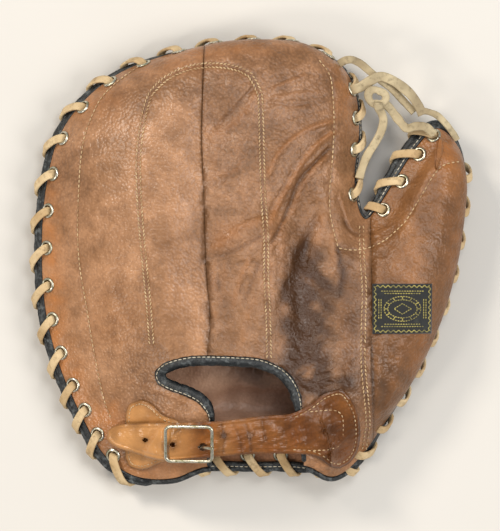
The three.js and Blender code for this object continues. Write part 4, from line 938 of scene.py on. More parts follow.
# The padded palm
def palmSheets(columns):
    # rings of points of the palm's lower and upper face, smooth through the same heights as the solid has
    frames = edgeFrames(placeOfArc(np.arange(columns) / columns * edgeLength), "palm")
    edge, into, out = frames["edge"], frames["into"], frames["out"]
    gap, leather, flange = mitt["gap"], mitt["palmLeather"], mitt["flange"]
    start = edge + flange * into - gap * out
    lowStart = edge + flange * into - (gap + leather) * out
    run = (frames["goal"] - start) * [1, 1, 0]
    reach = np.linalg.norm(run, axis=1, keepdims=True)
    way = unit(run)
    steep = into[:, 2:]
    level = 1 - steep
    groove = mitt["groove"] + (leather + 2.1 + 0.8) * steep
    rimStart = np.maximum(np.minimum(mitt["rimInset"], 0.45 * reach), groove + mitt["rimStep"])
    rimEnd = np.maximum(np.minimum(mitt["rimInset"] + mitt["rimWidth"], 0.75 * reach), rimStart + mitt["rimStep"])
    shoulder = (rimEnd + reach) / 2
    pocket = (frames["pocket"] * mitt["pocket"])[:, None]

    def spot(r, z):
        point = start + way * r
        point[:, 2:] = z
        return point

    lowRows = [edge - (gap + leather) * out, lowStart, spot(groove, lowStart[:, 2:] - 3 * level),
               spot((groove + rimStart) / 2, 0.42 * (lowStart[:, 2:] - 3 * level)), spot(rimStart, 0.0 * reach),
               spot((rimStart + rimEnd) / 2, 0.0 * reach), spot(rimEnd, 0.0 * reach), spot(shoulder, 0.75 * pocket),
               spot(reach, pocket)]
    highRows = [edge - gap * out, start, spot(groove + 1, start[:, 2:] - 1.5 * level + leather * steep),
                spot(rimStart + 2, mitt["padding"] + 0.0 * reach), spot(rimEnd, mitt["padding"] + 0.0 * reach),
                spot(shoulder, 0.75 * pocket + mitt["padding"]), spot(reach, pocket + mitt["padding"])]

    def smooth(rows, parts):
        rows = np.stack(rows, 0)
        flat = tableCurve(rows.reshape(len(rows), -1), np.linspace(0, 1, parts * (len(rows) - 1) + 1), False)
        return flat.reshape(-1, columns, 3).transpose(1, 0, 2)

    lowSide, highSide = smooth(lowRows, 5), smooth(highRows, 4)
    rows = tableCurve(edgeTable, placeOfArc(np.arange(columns) / columns * edgeLength))[:, 7]
    spine = tableCurve(spineTable, np.round(np.clip(rows, 0, 1) * 300) / 300, False)
    ends = np.concatenate([spine[:, :2] * planSize, spine[:, 3:4] * mitt["pocket"]], 1)
    lowSide = np.concatenate([lowSide, ends[:, None]], 1)
    highSide = np.concatenate([highSide, (ends + [0, 0, mitt["padding"]])[:, None]], 1)
    lowSide[..., 2] = np.maximum(lowSide[..., 2], 0)
    return lowSide, highSide


palmLow, palmHigh = palmSheets(mitt["palmColumns"])


def palmPanel():
    # the stuffed palm, one closed surface with its flange, a little uneven below
    columns, lowDepth = palmLow.shape[:2]
    highDepth = palmHigh.shape[1]
    lowFlat = palmLow.reshape(-1, 3).copy()
    pull = np.repeat(smoothStep(np.arange(lowDepth), 7, 14)[None], columns, 0).ravel()
    lift = 0.35 * unevenness(lowFlat, 40, 21) + 0.2 * unevenness(lowFlat, 15, 22)
    free = smoothStep(lowFlat[:, 2], 0.2, 3.0)
    lowFlat[:, 2] += pull * free * lift
    highFlat = palmHigh.reshape(-1, 3)
    points = np.vstack([lowFlat, highFlat])
    lowFaces = gridFaces(columns, lowDepth)[:, ::-1]
    highFaces = gridFaces(columns, highDepth) + len(lowFlat)
    i = np.arange(columns)
    j = (i + 1) % columns
    rim = np.stack([i * lowDepth, j * lowDepth, len(lowFlat) + j * highDepth, len(lowFlat) + i * highDepth], 1)
    made = makeObject("palm_leather", points, np.vstack([lowFaces, highFaces, rim]), palmSkin)
    flat = points[:, :2]
    pocketPlace = np.hypot(flat[:, 0] + 20, flat[:, 1] - 5)
    handling = 0.25 + 0.2 * unevenness(flat, 30, 23) + 0.35 * bell(pocketPlace, 60)
    paint(made, "stainAndShade", np.clip(handling, 0, 0.8))
    paint(made, "rubAndLight", np.clip(0.4 * bell(points[:, 2], 3.0), 0, 1))
    weld(made)
    dress(made, "palm_leather", "palm_left", "palm_right", "palm_thumb")


palmPanel()

liningShares = [(-0.1, -0.4), (-0.16, -0.38), (-0.24, -0.3), (-0.26, -0.2), (-0.2, -0.1), (-0.05, -0.06), (0.1, -0.1),
                (0.15, -0.2), (0.14, -0.33), (0.08, -0.39), (0, -0.4), (-0.09, -0.4)]


def palmLining():
    # the part of the palm's upper face that shows through the hand opening, as a thin sheet
    columns, depth = palmHigh.shape[:2]
    points = palmHigh.reshape(-1, 3).copy()
    faces = gridFaces(columns, depth)
    outline = planCurve(liningShares, 60)
    kept = insideOutline(points[faces].mean(1)[:, :2], outline)
    points, faces = keepFaces(points, faces, kept)
    points[:, 2] += 1.5 + 0.35 * unevenness(points, 24, 31) + 0.2 * unevenness(points, 9, 32)
    made = makeObject("palm_lining_leather", points, faces, liningSkin)
    paint(made, "stainAndShade", np.clip(0.2 + 0.3 * unevenness(points, 22, 33), 0, 0.6))
    paint(made, "rubAndLight", np.clip(0.3 * unevenness(points, 30, 34), 0, 0.5))
    weld(made)
    thicken(made, 1.2)
    dress(made, "lining_leather", "palm_lining")


palmLining()
print("palm done")


# Welt, laces and eyelets round the edge
def seatHeight(frames):
    # the leather that shows at the edge: the back, or the palm where the back stands off it
    return np.where(frames["lift"] < flapRise, flangeTop, -mitt["gap"])


welt = {"high": 2.3, "low": -2.7}


def edgeWelt():
    # a folded bead as thick as the flange, with a groove where its two layers meet
    count = 900
    frames = edgeFrames(placeOfArc(np.arange(count) / count * edgeLength), "palm")
    middle, half = (welt["high"] + welt["low"]) / 2, (welt["high"] - welt["low"]) / 2
    width = frames["welt"] * mitt["welt"]
    ripple = 1 + 0.05 * unevenness(frames["edge"], 9, 41)
    section = np.array([(0, -0.9), (0, 0.9), (-0.12, 1.0), (-0.38, 1.04), (-0.52, 0.93), (-0.58, 0.8), (-0.64, 0.93),
                        (-0.78, 0.98), (-0.92, 0.75), (-1.0, 0.25), (-1.0, -0.25), (-0.92, -0.75), (-0.6, -1.0),
                        (-0.2, -1.0)])
    shaped = np.stack([section[None, :, 0] * (width * ripple)[:, None],
                       np.broadcast_to(section[:, 1] * half, (count, len(section)))], -1)
    path = frames["edge"] + middle * frames["out"] - mitt["weltGap"] * frames["into"]
    swept("edge_welt_leather", blackSkin, "black_leather", "edge_welt", path, frames["into"], frames["out"],
          shaped, True)


edgeWelt()

lace = {"width": 5.2, "thickness": 2.1, "clear": 0.4, "bend": 1.3, "ease": 0.35, "lower": 0.5}


def whipPath(holes, start, end):
    # up through each hole, over the flange and slanting along it, round the welt and back below it
    arcs, intos, outs = [], [], []
    over = lace["thickness"] / 2 + lace["clear"]

    def add(arc, into, out):
        arcs.append(arc)
        intos.append(into)
        outs.append(out)

    below = flangeLow - over - lace["lower"]
    add(holes[0] - start, 0.0, below)
    for i, hole in enumerate(holes):
        after = holes[i + 1] if i + 1 < len(holes) else hole + end
        span = (after - hole) % edgeLength
        add(hole, mitt["holeInset"], flangeLow - over - lace["bend"])
        add(hole, mitt["holeInset"], None)
        add(hole + 0.46 * span, "beyond", flangeTop + over + 0.7)
        add(hole + 0.6 * span, "beyond", below)
    frames = edgeFrames(placeOfArc(np.array(arcs)), "palm")
    beyond = -0.45 - frames["welt"] * mitt["welt"] - over - lace["ease"] + 0.4
    ringTop = seatHeight(frames) + 1.7 + over + lace["bend"] - 0.7
    s = np.array([beyond[i] if value == "beyond" else value for i, value in enumerate(intos)])
    m = np.array([ringTop[i] if value is None else value for i, value in enumerate(outs)])
    points = frames["edge"] + s[:, None] * frames["into"] + m[:, None] * frames["out"]
    starts = np.minimum(np.arange(len(points)) // 2 * 2, len(points) - 2)
    square = unit(np.cross(frames["out"], points[starts + 1] - points[starts]))
    square *= np.sign((square * frames["tangent"]).sum(1, keepdims=True))
    return points, square + 0.6 * frames["tangent"]


def laceMesh(name, points, hints, material, slot, node, width=None, thickness=None, rounds=3, seed=50):
    # a flat strip whose width and twist wander a little, as cut hide does
    path = rounded(points, rounds)
    hint = rounded(unit(hints), rounds)
    side, over = pathFrames(path, hint)
    section = ovalSection(1.0, 1.0, 12, 3.2)
    steps = np.arange(len(path))
    wander = np.random.default_rng(seed)
    wave = sum(np.sin(steps * wander.uniform(0.05, 0.5) + wander.uniform(0, 6)) for k in range(5)) / 5
    wide = (width or lace["width"]) * (1 + 0.1 * wave)
    thick = (thickness or lace["thickness"]) * (1 - 0.08 * wave)
    shaped = np.stack([section[None, :, 0] * wide[:, None], section[None, :, 1] * thick[:, None]], -1)
    cup = 0.10 * (shaped[..., 0] / wide[:, None] * 2) ** 2 * thick[:, None]
    shaped[..., 1] += cup - cup.mean()
    swept(name, material, slot, node, path, side, over, shaped)


laceMesh("edge_lace_hide", *whipPath(edgeHoles, 8, 16), laceHide, "rawhide", "edge_lace")
laceMesh("thumb_whip_lace_hide", *whipPath(thumbHoles, 8, 8), laceHide, "rawhide", "thumb_whip_lace", seed=51)
laceMesh("finger_whip_lace_hide", *whipPath(fingerHoles, 8, 16), laceHide, "rawhide", "finger_whip_lace", seed=52)


def eyelets():
    # a rolled ring: flat skirt, high rounded lip, throat going down into the hole
    profile = np.array([(4.55, 0.0), (4.6, 0.18), (4.35, 0.5), (4.0, 0.82), (3.6, 0.98), (3.25, 0.9), (3.0, 0.5),
                        (2.92, -0.4), (2.92, -1.8), (3.1, -1.8), (3.2, 0.0)])
    around = 28
    frames = edgeFrames(placeOfArc(np.array(ringedArcs)), "palm")
    seat = seatHeight(frames) + 0.25
    for i, height in enumerate(seat):
        angle = np.arange(around) * 2 * math.pi / around
        side = np.cos(angle)[:, None] * frames["tangent"][i] + np.sin(angle)[:, None] * frames["into"][i]
        over = np.repeat(frames["out"][i][None], around, 0)
        middle = frames["edge"][i] + mitt["holeInset"] * frames["into"][i] + height * frames["out"][i]
        swept(f"eyelet_ring_{i + 1:02d}", nickel, "nickel", f"eyelet_{i + 1:02d}", np.repeat(middle[None], around, 0),
              side, over, profile, True)


eyelets()
print("edge done")


# Bindings
binding = {"radius": 3.3, "thin": 1.6, "clear": 0.3}


def openingBinding():
    # a wrinkled roll along the opening, thinner at the flaps; gives back the line of its stitches and their normals
    path = np.concatenate([openingCurve, np.zeros((len(openingCurve), 1))], 1)
    height, normal = backHeight(path)
    share = np.linspace(0, 1, len(path))
    fromEnd = np.minimum(share, 1 - share)
    radius = binding["thin"] + (binding["radius"] - binding["thin"]) * smoothStep(fromEnd, 0.12, 0.2)
    nearEnd = np.clip(fromEnd / 0.008, 0, 1)
    radius = radius * np.sqrt(1 - 0.9 * (1 - nearEnd) ** 2)                # round ends
    path[:, 2] = height - mitt["backLeather"] / 2
    path[1:-1] = (path[:-2] + 2 * path[1:-1] + path[2:]) / 4
    flat = np.stack([*np.gradient(openingCurve, axis=0).T, np.zeros(len(path))], 1)
    side, over = pathFrames(path, np.cross(flat, [0, 0, 1.0]))
    angle = np.arange(16) * 2 * math.pi / 16
    ring = np.stack([np.cos(angle), np.sin(angle)], 1)
    wrinkle = 1 + 0.05 * unevenness(path, 5, 61)[:, None] * np.cos(2 * angle)[None]
    wrinkle += 0.03 * unevenness(path, 3, 62)[:, None]
    shaped = ring[None] * (radius[:, None] * wrinkle)[..., None]
    swept("opening_binding_leather", blackSkin, "black_leather", "opening_binding", path, side, over, shaped)
    lid = over * np.sign(over[:, 2:])
    out, raised = 0.6 * radius, 0.82 * radius
    return path - out[:, None] * side + raised[:, None] * lid, unit(-0.6 * side + 0.82 * lid)


def flapBinding(name, node, fromRow, toRow):
    # a thin round binding along the edge between two rows of the edge table
    place = np.linspace(fromRow, toRow, 60) / len(edgeTable)
    frames = edgeFrames(place, "back")
    inset, rise = binding["clear"] + binding["thin"], mitt["gap"] + mitt["backLeather"] / 2
    path = frames["edge"] - inset * frames["into"] + rise * frames["out"]
    section = ovalSection(2 * binding["thin"], 2 * binding["thin"], 12, 2.2)
    swept(name, blackSkin, "black_leather", node, path, frames["into"], frames["out"], section)


seamPath, seamNormals = openingBinding()
flapBinding("flap_binding_left_leather", "flap_binding_left", 14.4, 16.1)
flapBinding("flap_binding_right_leather", "flap_binding_right", 18.1, 19.5)


# Strap, patch, label and buckle
strap = {"thickness": 2.6, "lift": 4.4, "hole": 1.5, "prongHole": 2.4}
strapUpper = [(-0.333, -0.387), (-0.328, -0.375), (-0.3, -0.362), (-0.2, -0.357), (-0.08, -0.352), (0.02, -0.341),
              (0.085, -0.336), (0.125, -0.318), (0.165, -0.291), (0.205, -0.285), (0.235, -0.325), (0.245, -0.37),
              (0.242, -0.415), (0.225, -0.446), (0.2, -0.46)]
strapLower = [(-0.331, -0.397), (-0.32, -0.408), (-0.29, -0.42), (-0.2, -0.442), (-0.07, -0.43), (0.02, -0.424),
              (0.075, -0.425), (0.11, -0.426), (0.13, -0.428), (0.146, -0.433), (0.16, -0.442), (0.17, -0.45),
              (0.18, -0.456), (0.19, -0.459), (0.2, -0.46)]
# creases across the strap, in pixels of the photograph
strapCreases = [
    [(222, 424), (225, 438), (223, 452)], [(233, 422), (240, 436), (242, 452)], [(165, 428), (163, 444), (166, 458)],
    [(246, 424), (250, 436), (251, 450)], [(262, 420), (266, 440)],
]
strapHoles = [(-0.244, -0.396), (-0.181, -0.404), (-0.1125, -0.409), (-0.065, -0.383), (-0.006, -0.383)]


def strapGap(points):
    # how far the strap stands off the back: it rises over the patch and the buckle's bar
    share = points[:, 0] / mitt["width"]
    return 0.3 + strap["lift"] * (1 - smoothStep(share, -0.06, 0.13)) + 0.5 * (1 - smoothStep(share, 0.12, 0.16))


def layered(name, points, faces, bottom, thickness, material, slot, node, stainAndShade, rubAndLight, edge):
    # a leather piece that lies on the back: points of the plan raised to its height, with softened edges
    height, normal = backHeight(points)
    count = len(points)
    soft = thickness * (0.72 + 0.28 * smoothStep(edge, 0, 1.6))
    lowPoints = np.concatenate([points, (height + bottom / normal[:, 2])[:, None]], 1)
    highPoints = np.concatenate([points, (height + (bottom + soft) / normal[:, 2])[:, None]], 1)
    directed = sidesOf(faces)
    border, times = np.unique(np.sort(directed, 1), axis=0, return_counts=True)
    single = {tuple(pair) for pair in border[times == 1].tolist()}
    walls = [(a, b, b + count, a + count) for a, b in directed.tolist() if (min(a, b), max(a, b)) in single]
    allFaces = (faces + count).tolist() + faces[:, ::-1].tolist() + [list(wall) for wall in walls]
    made = makeObject(name, np.vstack([lowPoints, highPoints]), allFaces, material)
    paint(made, "stainAndShade", np.clip(np.tile(stainAndShade, 2), 0, 0.9))
    paint(made, "rubAndLight", np.clip(np.tile(rubAndLight, 2), 0, 0.9))
    paint(made, "crumple", np.full(len(points) * 2, 0.0))
    return dress(made, slot, node)


def wristStrap():
    # a grid between the strap's two edges, less its holes, with an edge groove, sags and creases
    along, across = 460, 72
    share = np.linspace(0, 1, along)
    upper = tableCurve(np.array(strapUpper) * planSize, share, False)
    lower = tableCurve(np.array(strapLower) * planSize, share, False)
    w = np.linspace(0, 1, across)
    points = (lower[:, None] * (1 - w)[None, :, None] + upper[:, None] * w[None, :, None]).reshape(-1, 2)
    faces = facingUp(points, gridFaces(along, across, False))
    middles = points[faces].mean(1)
    kept = np.ones(len(faces), bool)
    for i, hole in enumerate(np.array(strapHoles) * planSize):
        kept &= np.linalg.norm(middles - hole, axis=1) > (strap["prongHole"] if i == 2 else strap["hole"])
    points, faces = keepFaces(points, faces, kept)
    outline = np.vstack([upper, lower[::-1]])
    edge = away(points, closedLine(outline))
    sag = 0.35 * unevenness(points, 26, 71) + 0.12 * unevenness(points, 8, 72)
    groove = 0.3 * bell(edge - 2.6, 0.8)
    spots = toPhoto(points)
    stainAndShade = 0.12 + 0.16 * unevenness(points, 18, 73) + 0.35 * bell(edge, 1.0)
    # darker towards the fan at the right: painted shade where the light falls off
    stainAndShade += 0.35 * smoothStep(spots[:, 0], 290, 330)
    for hole in np.array(strapHoles) * planSize:
        stainAndShade += 0.6 * bell(np.linalg.norm(points - hole, axis=1), 2.6)
    # each crease sinks the strap a little and gets painted shade along it
    for line in strapCreases:
        distance = away(points, fromPhoto(line))
        sag -= 0.45 * bell(distance, 0.8)
        stainAndShade += 0.35 * bell(distance, 0.9)
    # paler and more orange towards the left tip, less so to the right: partly wear, partly painted light falling from
    # the left
    rubAndLight = 0.12 + 0.15 * unevenness(points, 30, 74) + 0.8 * (1 - smoothStep(spots[:, 0], 150, 215))
    rubAndLight *= 1 - 0.7 * smoothStep(spots[:, 0], 225, 300)
    layered("wrist_strap_leather", points, faces, strapGap(points) + sag - groove, strap["thickness"], strapSkin,
            "strap_leather", "wrist_strap", stainAndShade, rubAndLight, edge)


def discGrid(outline, rings):
    # rings of the outline drawn in to its middle
    middle = outline.mean(0)
    shares = np.linspace(1, 0.02, rings)
    points = middle + (outline - middle)[:, None] * shares[None, :, None]
    return points.reshape(-1, 2), gridFaces(len(outline), rings)


patchShares = [(-0.292, -0.41), (-0.287, -0.33), (-0.266, -0.31), (-0.245, -0.309), (-0.225, -0.32), (-0.2, -0.342),
               (-0.17, -0.352), (-0.16, -0.37), (-0.17, -0.43), (-0.21, -0.448), (-0.25, -0.464), (-0.28, -0.458),
               (-0.291, -0.44)]
patchOutline = planCurve(patchShares, 120)[::-1]


def bucklePatch():
    # the leather patch that the buckle is sewn to
    points, faces = discGrid(patchOutline, 18)
    edge = away(points, closedLine(patchOutline))
    stainAndShade = 0.15 + 0.15 * unevenness(points, 12, 76) + 0.4 * bell(edge, 1.0)
    rubAndLight = 0.75 + 0.25 * unevenness(points, 18, 77)
    layered("buckle_patch_leather", points, facingUp(points, faces), 0.3, 2.0, strapSkin, "strap_leather",
            "buckle_patch", stainAndShade, rubAndLight, edge)


label = {"width": 36, "height": 30, "top": 1.15}


def labelPiece():
    # a woven rectangle whose corners are a little soft
    u, v = (grid.ravel() for grid in np.meshgrid(np.linspace(-0.5, 0.5, 60), np.linspace(-0.5, 0.5, 50), indexing="ij"))
    points = labelMiddle + np.stack([u * label["width"], v * label["height"]], 1)
    edge = np.minimum((0.5 - np.abs(u)) * label["width"], (0.5 - np.abs(v)) * label["height"])
    faces = gridFaces(60, 50, False)
    layered("label_cloth", points, faces, 0.3 + 0.1 * unevenness(points, 12, 81), 0.7, labelBlack, "label_cloth",
            "label", 0 * u, 0 * u, edge)


wristStrap()
bucklePatch()
labelPiece()

buckle = {"length": 30.6, "height": 25, "wire": 2.1, "radius": 3.2, "rise": 1.0}
buckleMiddle = np.array([-0.144, -0.402]) * planSize


def buckleAxes():
    # the frame lies along the back's slope under it
    halfLong = buckle["length"] / 2 - buckle["wire"] / 2
    halfHigh = buckle["height"] / 2 - buckle["wire"] / 2
    probe = buckleMiddle + np.array([(halfLong, 0), (-halfLong, 0), (0, halfHigh), (0, -halfHigh), (0, 0)])
    height = backHeight(probe)[0]
    east = unit(np.array([2 * halfLong, 0, height[0] - height[1]]))
    north = unit(np.array([0, 2 * halfHigh, height[2] - height[3]]))
    normal = unit(np.cross(east, north))
    stack = 0.6 + strap["lift"] + strap["thickness"] + buckle["wire"] / 2 + buckle["rise"]
    return np.array([*buckleMiddle, height[4] + stack / normal[2]]), east, north, normal, halfLong, halfHigh


def buckleFrame():
    # round wire bent to a rectangle with rounded corners
    middle, east, north, normal, halfLong, halfHigh = buckleAxes()
    points, sides = [], []
    for sx, sy, turn in ((1, 1, 0), (-1, 1, 1), (-1, -1, 2), (1, -1, 3)):
        angle = np.radians(90 * turn + np.linspace(0, 90, 9))
        x = sx * (halfLong - buckle["radius"]) + buckle["radius"] * np.cos(angle)
        y = sy * (halfHigh - buckle["radius"]) + buckle["radius"] * np.sin(angle)
        points.append(middle + x[:, None] * east + y[:, None] * north)
        sides.append(np.cos(angle)[:, None] * east + np.sin(angle)[:, None] * north)
    path, side = np.vstack(points), np.vstack(sides)
    over = np.repeat(normal[None], len(path), 0)
    section = ovalSection(buckle["wire"], buckle["wire"], 14, 2.0)
    swept("buckle_frame_wire", nickel, "nickel", "buckle_frame", path, side, over, section, True)


def bucklePin():
    # the prong: from below the strap, up through its hole and over the frame's bar
    middle, east, north, normal, halfLong, halfHigh = buckleAxes()
    hole = np.array(strapHoles[2]) * planSize
    probe = hole + np.array([(0, 0), (4, 0), (0, 4)])
    height = backHeight(probe)[0]
    level = unit(np.array([4, 0, height[1] - height[0]]))
    lean = unit(np.cross(level, np.array([0, 4, height[2] - height[0]])))[2]
    seat = np.array([*hole, height[0]])
    under = seat + [0, 0, (strap["lift"] - buckle["wire"] / 2) / lean]
    above = (strap["lift"] + strap["thickness"] + 0.6 + buckle["wire"] / 2 + 1.0) / lean
    bar = middle + (halfLong + 1.2) * east + (hole - buckleMiddle)[1] * north + (buckle["wire"] + 0.2) * normal
    corners = np.array([under - 3.6 * level, under, seat + [0, 0, above], bar])
    path = rounded(corners, 3)
    side, over = pathFrames(path, np.repeat(north[None], len(path), 0))
    swept("buckle_prong_pin", nickel, "nickel", "buckle_prong", path, side, over, ovalSection(1.9, 1.7, 12, 2.2))


buckleFrame()
bucklePin()
print("strap done")


# The laces left of the web
# across, along and height, as shares of the width, length and crown
webLaces = {
    "web_lace_lower": [(0.199, 0.441, 0.42), (0.213, 0.448, 0.47), (0.226, 0.449, 0.5), (0.236, 0.446, 0.48),
                       (0.25, 0.438, 0.5), (0.27, 0.421, 0.51), (0.292, 0.404, 0.505), (0.315, 0.388, 0.455),
                       (0.345, 0.358, 0.4), (0.37, 0.332, 0.41)],
    "web_lace_outer": [(0.224, 0.38, 0.46), (0.235, 0.384, 0.53), (0.248, 0.388, 0.55), (0.27, 0.402, 0.57),
                       (0.292, 0.411, 0.55), (0.316, 0.404, 0.53), (0.342, 0.388, 0.5), (0.363, 0.37, 0.48),
                       (0.38, 0.345, 0.48), (0.389, 0.326, 0.48)],
    "web_lace_tip": [(0.386, 0.334, 0.455), (0.398, 0.334, 0.475), (0.42, 0.326, 0.497), (0.438, 0.31, 0.509),
                     (0.455, 0.29, 0.474), (0.468, 0.272, 0.404)],
    "web_lace_diagonal": [(0.301, 0.352, 0.555), (0.316, 0.338, 0.52), (0.334, 0.315, 0.5), (0.352, 0.296, 0.53),
                          (0.372, 0.3, 0.58), (0.395, 0.298, 0.62), (0.414, 0.282, 0.6)],
    "web_lace_hanging": [(0.2865, 0.352, 0.635), (0.2875, 0.341, 0.6), (0.296, 0.327, 0.53), (0.299, 0.31, 0.5),
                         (0.292, 0.285, 0.46), (0.278, 0.26, 0.44), (0.262, 0.235, 0.425), (0.25, 0.205, 0.45),
                         (0.244, 0.185, 0.49)],
}
webWidths = {"web_lace_lower": 4.8, "web_lace_outer": 6.2, "web_lace_tip": 4.0, "web_lace_diagonal": 5.4,
             "web_lace_hanging": 5.2}
for i, (name, rows) in enumerate(webLaces.items()):
    path = evenCurve(np.array(rows) * fullSize, 36)
    hints = np.cross(np.array([[0.0, 0.0, 1.0]]), np.gradient(path, axis=0))
    tilt = 0.35 * np.sin(np.linspace(0, 5 + i, 36))[:, None] * [[0, 0, 1.0]]
    laceMesh(name + "_hide", path, unit(hints) + tilt, webHide, "rawhide", name, webWidths[name], 2.2, 1, 90 + i)


def webKnot():
    # one round turn of lace, a little flattened and tilted
    middle = np.array([0.283, 0.365, 0.6]) * fullSize
    angle = np.arange(64) * 2 * math.pi / 64
    side = np.stack([np.cos(angle), np.sin(angle), 0 * angle], 1)
    path = middle + side * (4.7 + 0.7 * np.cos(2 * angle + 0.6) + 0.25 * np.cos(3 * angle))[:, None]
    path[:, 2] += 0.5 * np.sin(angle + 0.6)
    wide = (4.9 + 0.5 * np.sin(3 * angle))[:, None, None] * [1.0, 0.0]
    section = ovalSection(1.0, 1.0, 12, 2.6)[None] * (wide + np.array([0.0, 2.5]))
    flat, faces = sweepMesh(path, side, np.repeat([[0.0, 0.0, 1.0]], 64, 0), section, True)
    dress(makeObject("web_knot_hide", flat, faces, webHide), "rawhide", "web_knot")


webKnot()
print("web done")


# Stitches
def stitchMesh(name, middles, ways, normals, length, thick, material):
    # each stitch is a grain of thread: four rings of six points between two tips
    rings = np.array([(-0.5, 0.0), (-0.42, 0.55), (-0.18, 1.0), (0.18, 1.0), (0.42, 0.55), (0.5, 0.0)])
    around = 6
    angle = np.arange(around) * 2 * math.pi / around
    local = np.stack([np.repeat(rings[:, 0], around) * length,
                      np.outer(rings[:, 1], np.cos(angle)).ravel() * thick / 2,
                      np.outer(rings[:, 1], np.sin(angle)).ravel() * thick / 2], 1)
    ways = unit(ways)
    sides = unit(np.cross(normals, ways))
    ups = np.cross(ways, sides)
    points = (middles[:, None] + local[None, :, :1] * ways[:, None] + local[None, :, 1:2] * sides[:, None]
              + local[None, :, 2:] * ups[:, None])
    i = np.arange(len(rings) - 1)[:, None]
    k = np.arange(around)[None]
    after = (k + 1) % around
    one = np.stack([i * around + k, i * around + after, (i + 1) * around + after, (i + 1) * around + k], -1)
    one = one.reshape(-1, 4)
    faces = one[None] + (np.arange(len(middles)) * len(local))[:, None, None]
    made = makeObject(name, points.reshape(-1, 3), faces.reshape(-1, 4)[:, ::-1], material)
    weld(made)
    return made


def rowOf(curve, pitch, offset=0.0, extra=0.0, slant=0.0):
    # middles, ways and normals of stitches along a curve of the plan, moved to its left and raised
    ruler = lengthUpTo(curve)
    count = max(int(ruler[-1] / pitch), 2)
    where = (np.arange(count) + 0.5) * ruler[-1] / count
    spots = readLine(curve, ruler, where)
    way = unit(readLine(curve, ruler, where + 0.5) - readLine(curve, ruler, where - 0.5))
    spots = spots + offset * np.stack([-way[:, 1], way[:, 0]], 1)
    height, normal = backHeight(spots)
    raised = height + (extra(spots) if callable(extra) else extra) / normal[:, 2]
    middles = np.concatenate([spots, raised[:, None]], 1)
    ahead = backHeight(spots + way)[0] - backHeight(spots - way)[0]
    ways = np.concatenate([way, ahead[:, None] / 2], 1)
    turn = np.stack([-way[:, 1], way[:, 0], 0 * ahead], 1)
    return middles, ways + slant * turn, normal


def joinRows(rows):
    # several rows of stitches as one
    return [np.vstack(parts) for parts in zip(*rows)]


backRows = joinRows([
    rowOf(lineCurves["archLeft"], 2.3, 1.25, 0.3, 0.45), rowOf(lineCurves["archLeft"], 2.3, -1.25, 0.3, -0.45),
    rowOf(lineCurves["leftLine"], 2.9, 0, 0.4), rowOf(lineCurves["fingerLine"], 2.9, 0, 0.2),
    rowOf(lineCurves["webLine"], 2.9, 0, 0.2), rowOf(lineCurves["thumbLine"], 2.5, 1.2, 0.2, 0.3),
    rowOf(lineCurves["thumbLine"], 2.5, -1.2, 0.2, -0.3),
])
dress(stitchMesh("back_stitches", *backRows, 2.25, 0.82, paleThread), "rawhide")


def pathRow(path, normals, pitch):
    # stitches at equal steps along a path in space
    ruler = lengthUpTo(path)
    where = np.arange(pitch / 2, ruler[-1], pitch)
    ways = readLine(path, ruler, where + 0.4) - readLine(path, ruler, where - 0.4)
    return readLine(path, ruler, where), ways, unit(readLine(normals, ruler, where))


def weltRow(fromRow, toRow, share):
    # a thread along the upper face of the edge welt, at a share of its width
    frames = edgeFrames(np.linspace(fromRow, toRow, 90) / len(edgeTable), "palm")
    reach = mitt["weltGap"] + share * frames["welt"] * mitt["welt"]
    return frames["edge"] - reach[:, None] * frames["into"] + welt["high"] * frames["out"], frames["out"]


whiteRows = joinRows([
    pathRow(seamPath[14:-14], seamNormals[14:-14], 2.9), pathRow(*weltRow(15.6, 18.6, 0.32), 2.9),
    pathRow(*weltRow(28.2, 31.6, 0.2), 2.9), pathRow(*weltRow(33.0, 36.6, 0.3), 2.9),
])
dress(stitchMesh("binding_stitches", *whiteRows, 2.4, 0.62, whiteThread), "rawhide")


def strapTop(points):
    # height of the strap's upper face over the back
    return strapGap(points) + strap["thickness"] + 0.1


upperStrap = planCurve(strapUpper, 200)
lowerStrap = planCurve(strapLower, 200)
fanRing = np.vstack([upperStrap[112:], lowerStrap[::-1][:44]])
fanSeam = fromPhoto(evenCurve([(309, 411), (322, 410), (335, 410), (342, 416), (343, 432), (341, 444), (330, 449),
                               (312, 450)], 40))
strapRows = joinRows([rowOf(fanRing, 2.8, -2.6, strapTop), rowOf(fanSeam, 2.8, 0, strapTop)])
dress(stitchMesh("strap_stitches", *strapRows, 2.0, 0.7, paleThread), "rawhide")

patchRow = rowOf(closedLine(patchOutline), 2.4, 2.2, 2.5)
dress(stitchMesh("patch_stitches", *patchRow, 1.7, 0.7, paleThread), "rawhide")


def labelRow(points, pitch):
    # stitches on the label along points measured from its middle
    return rowOf(labelMiddle + np.array(points), pitch, 0, label["top"])


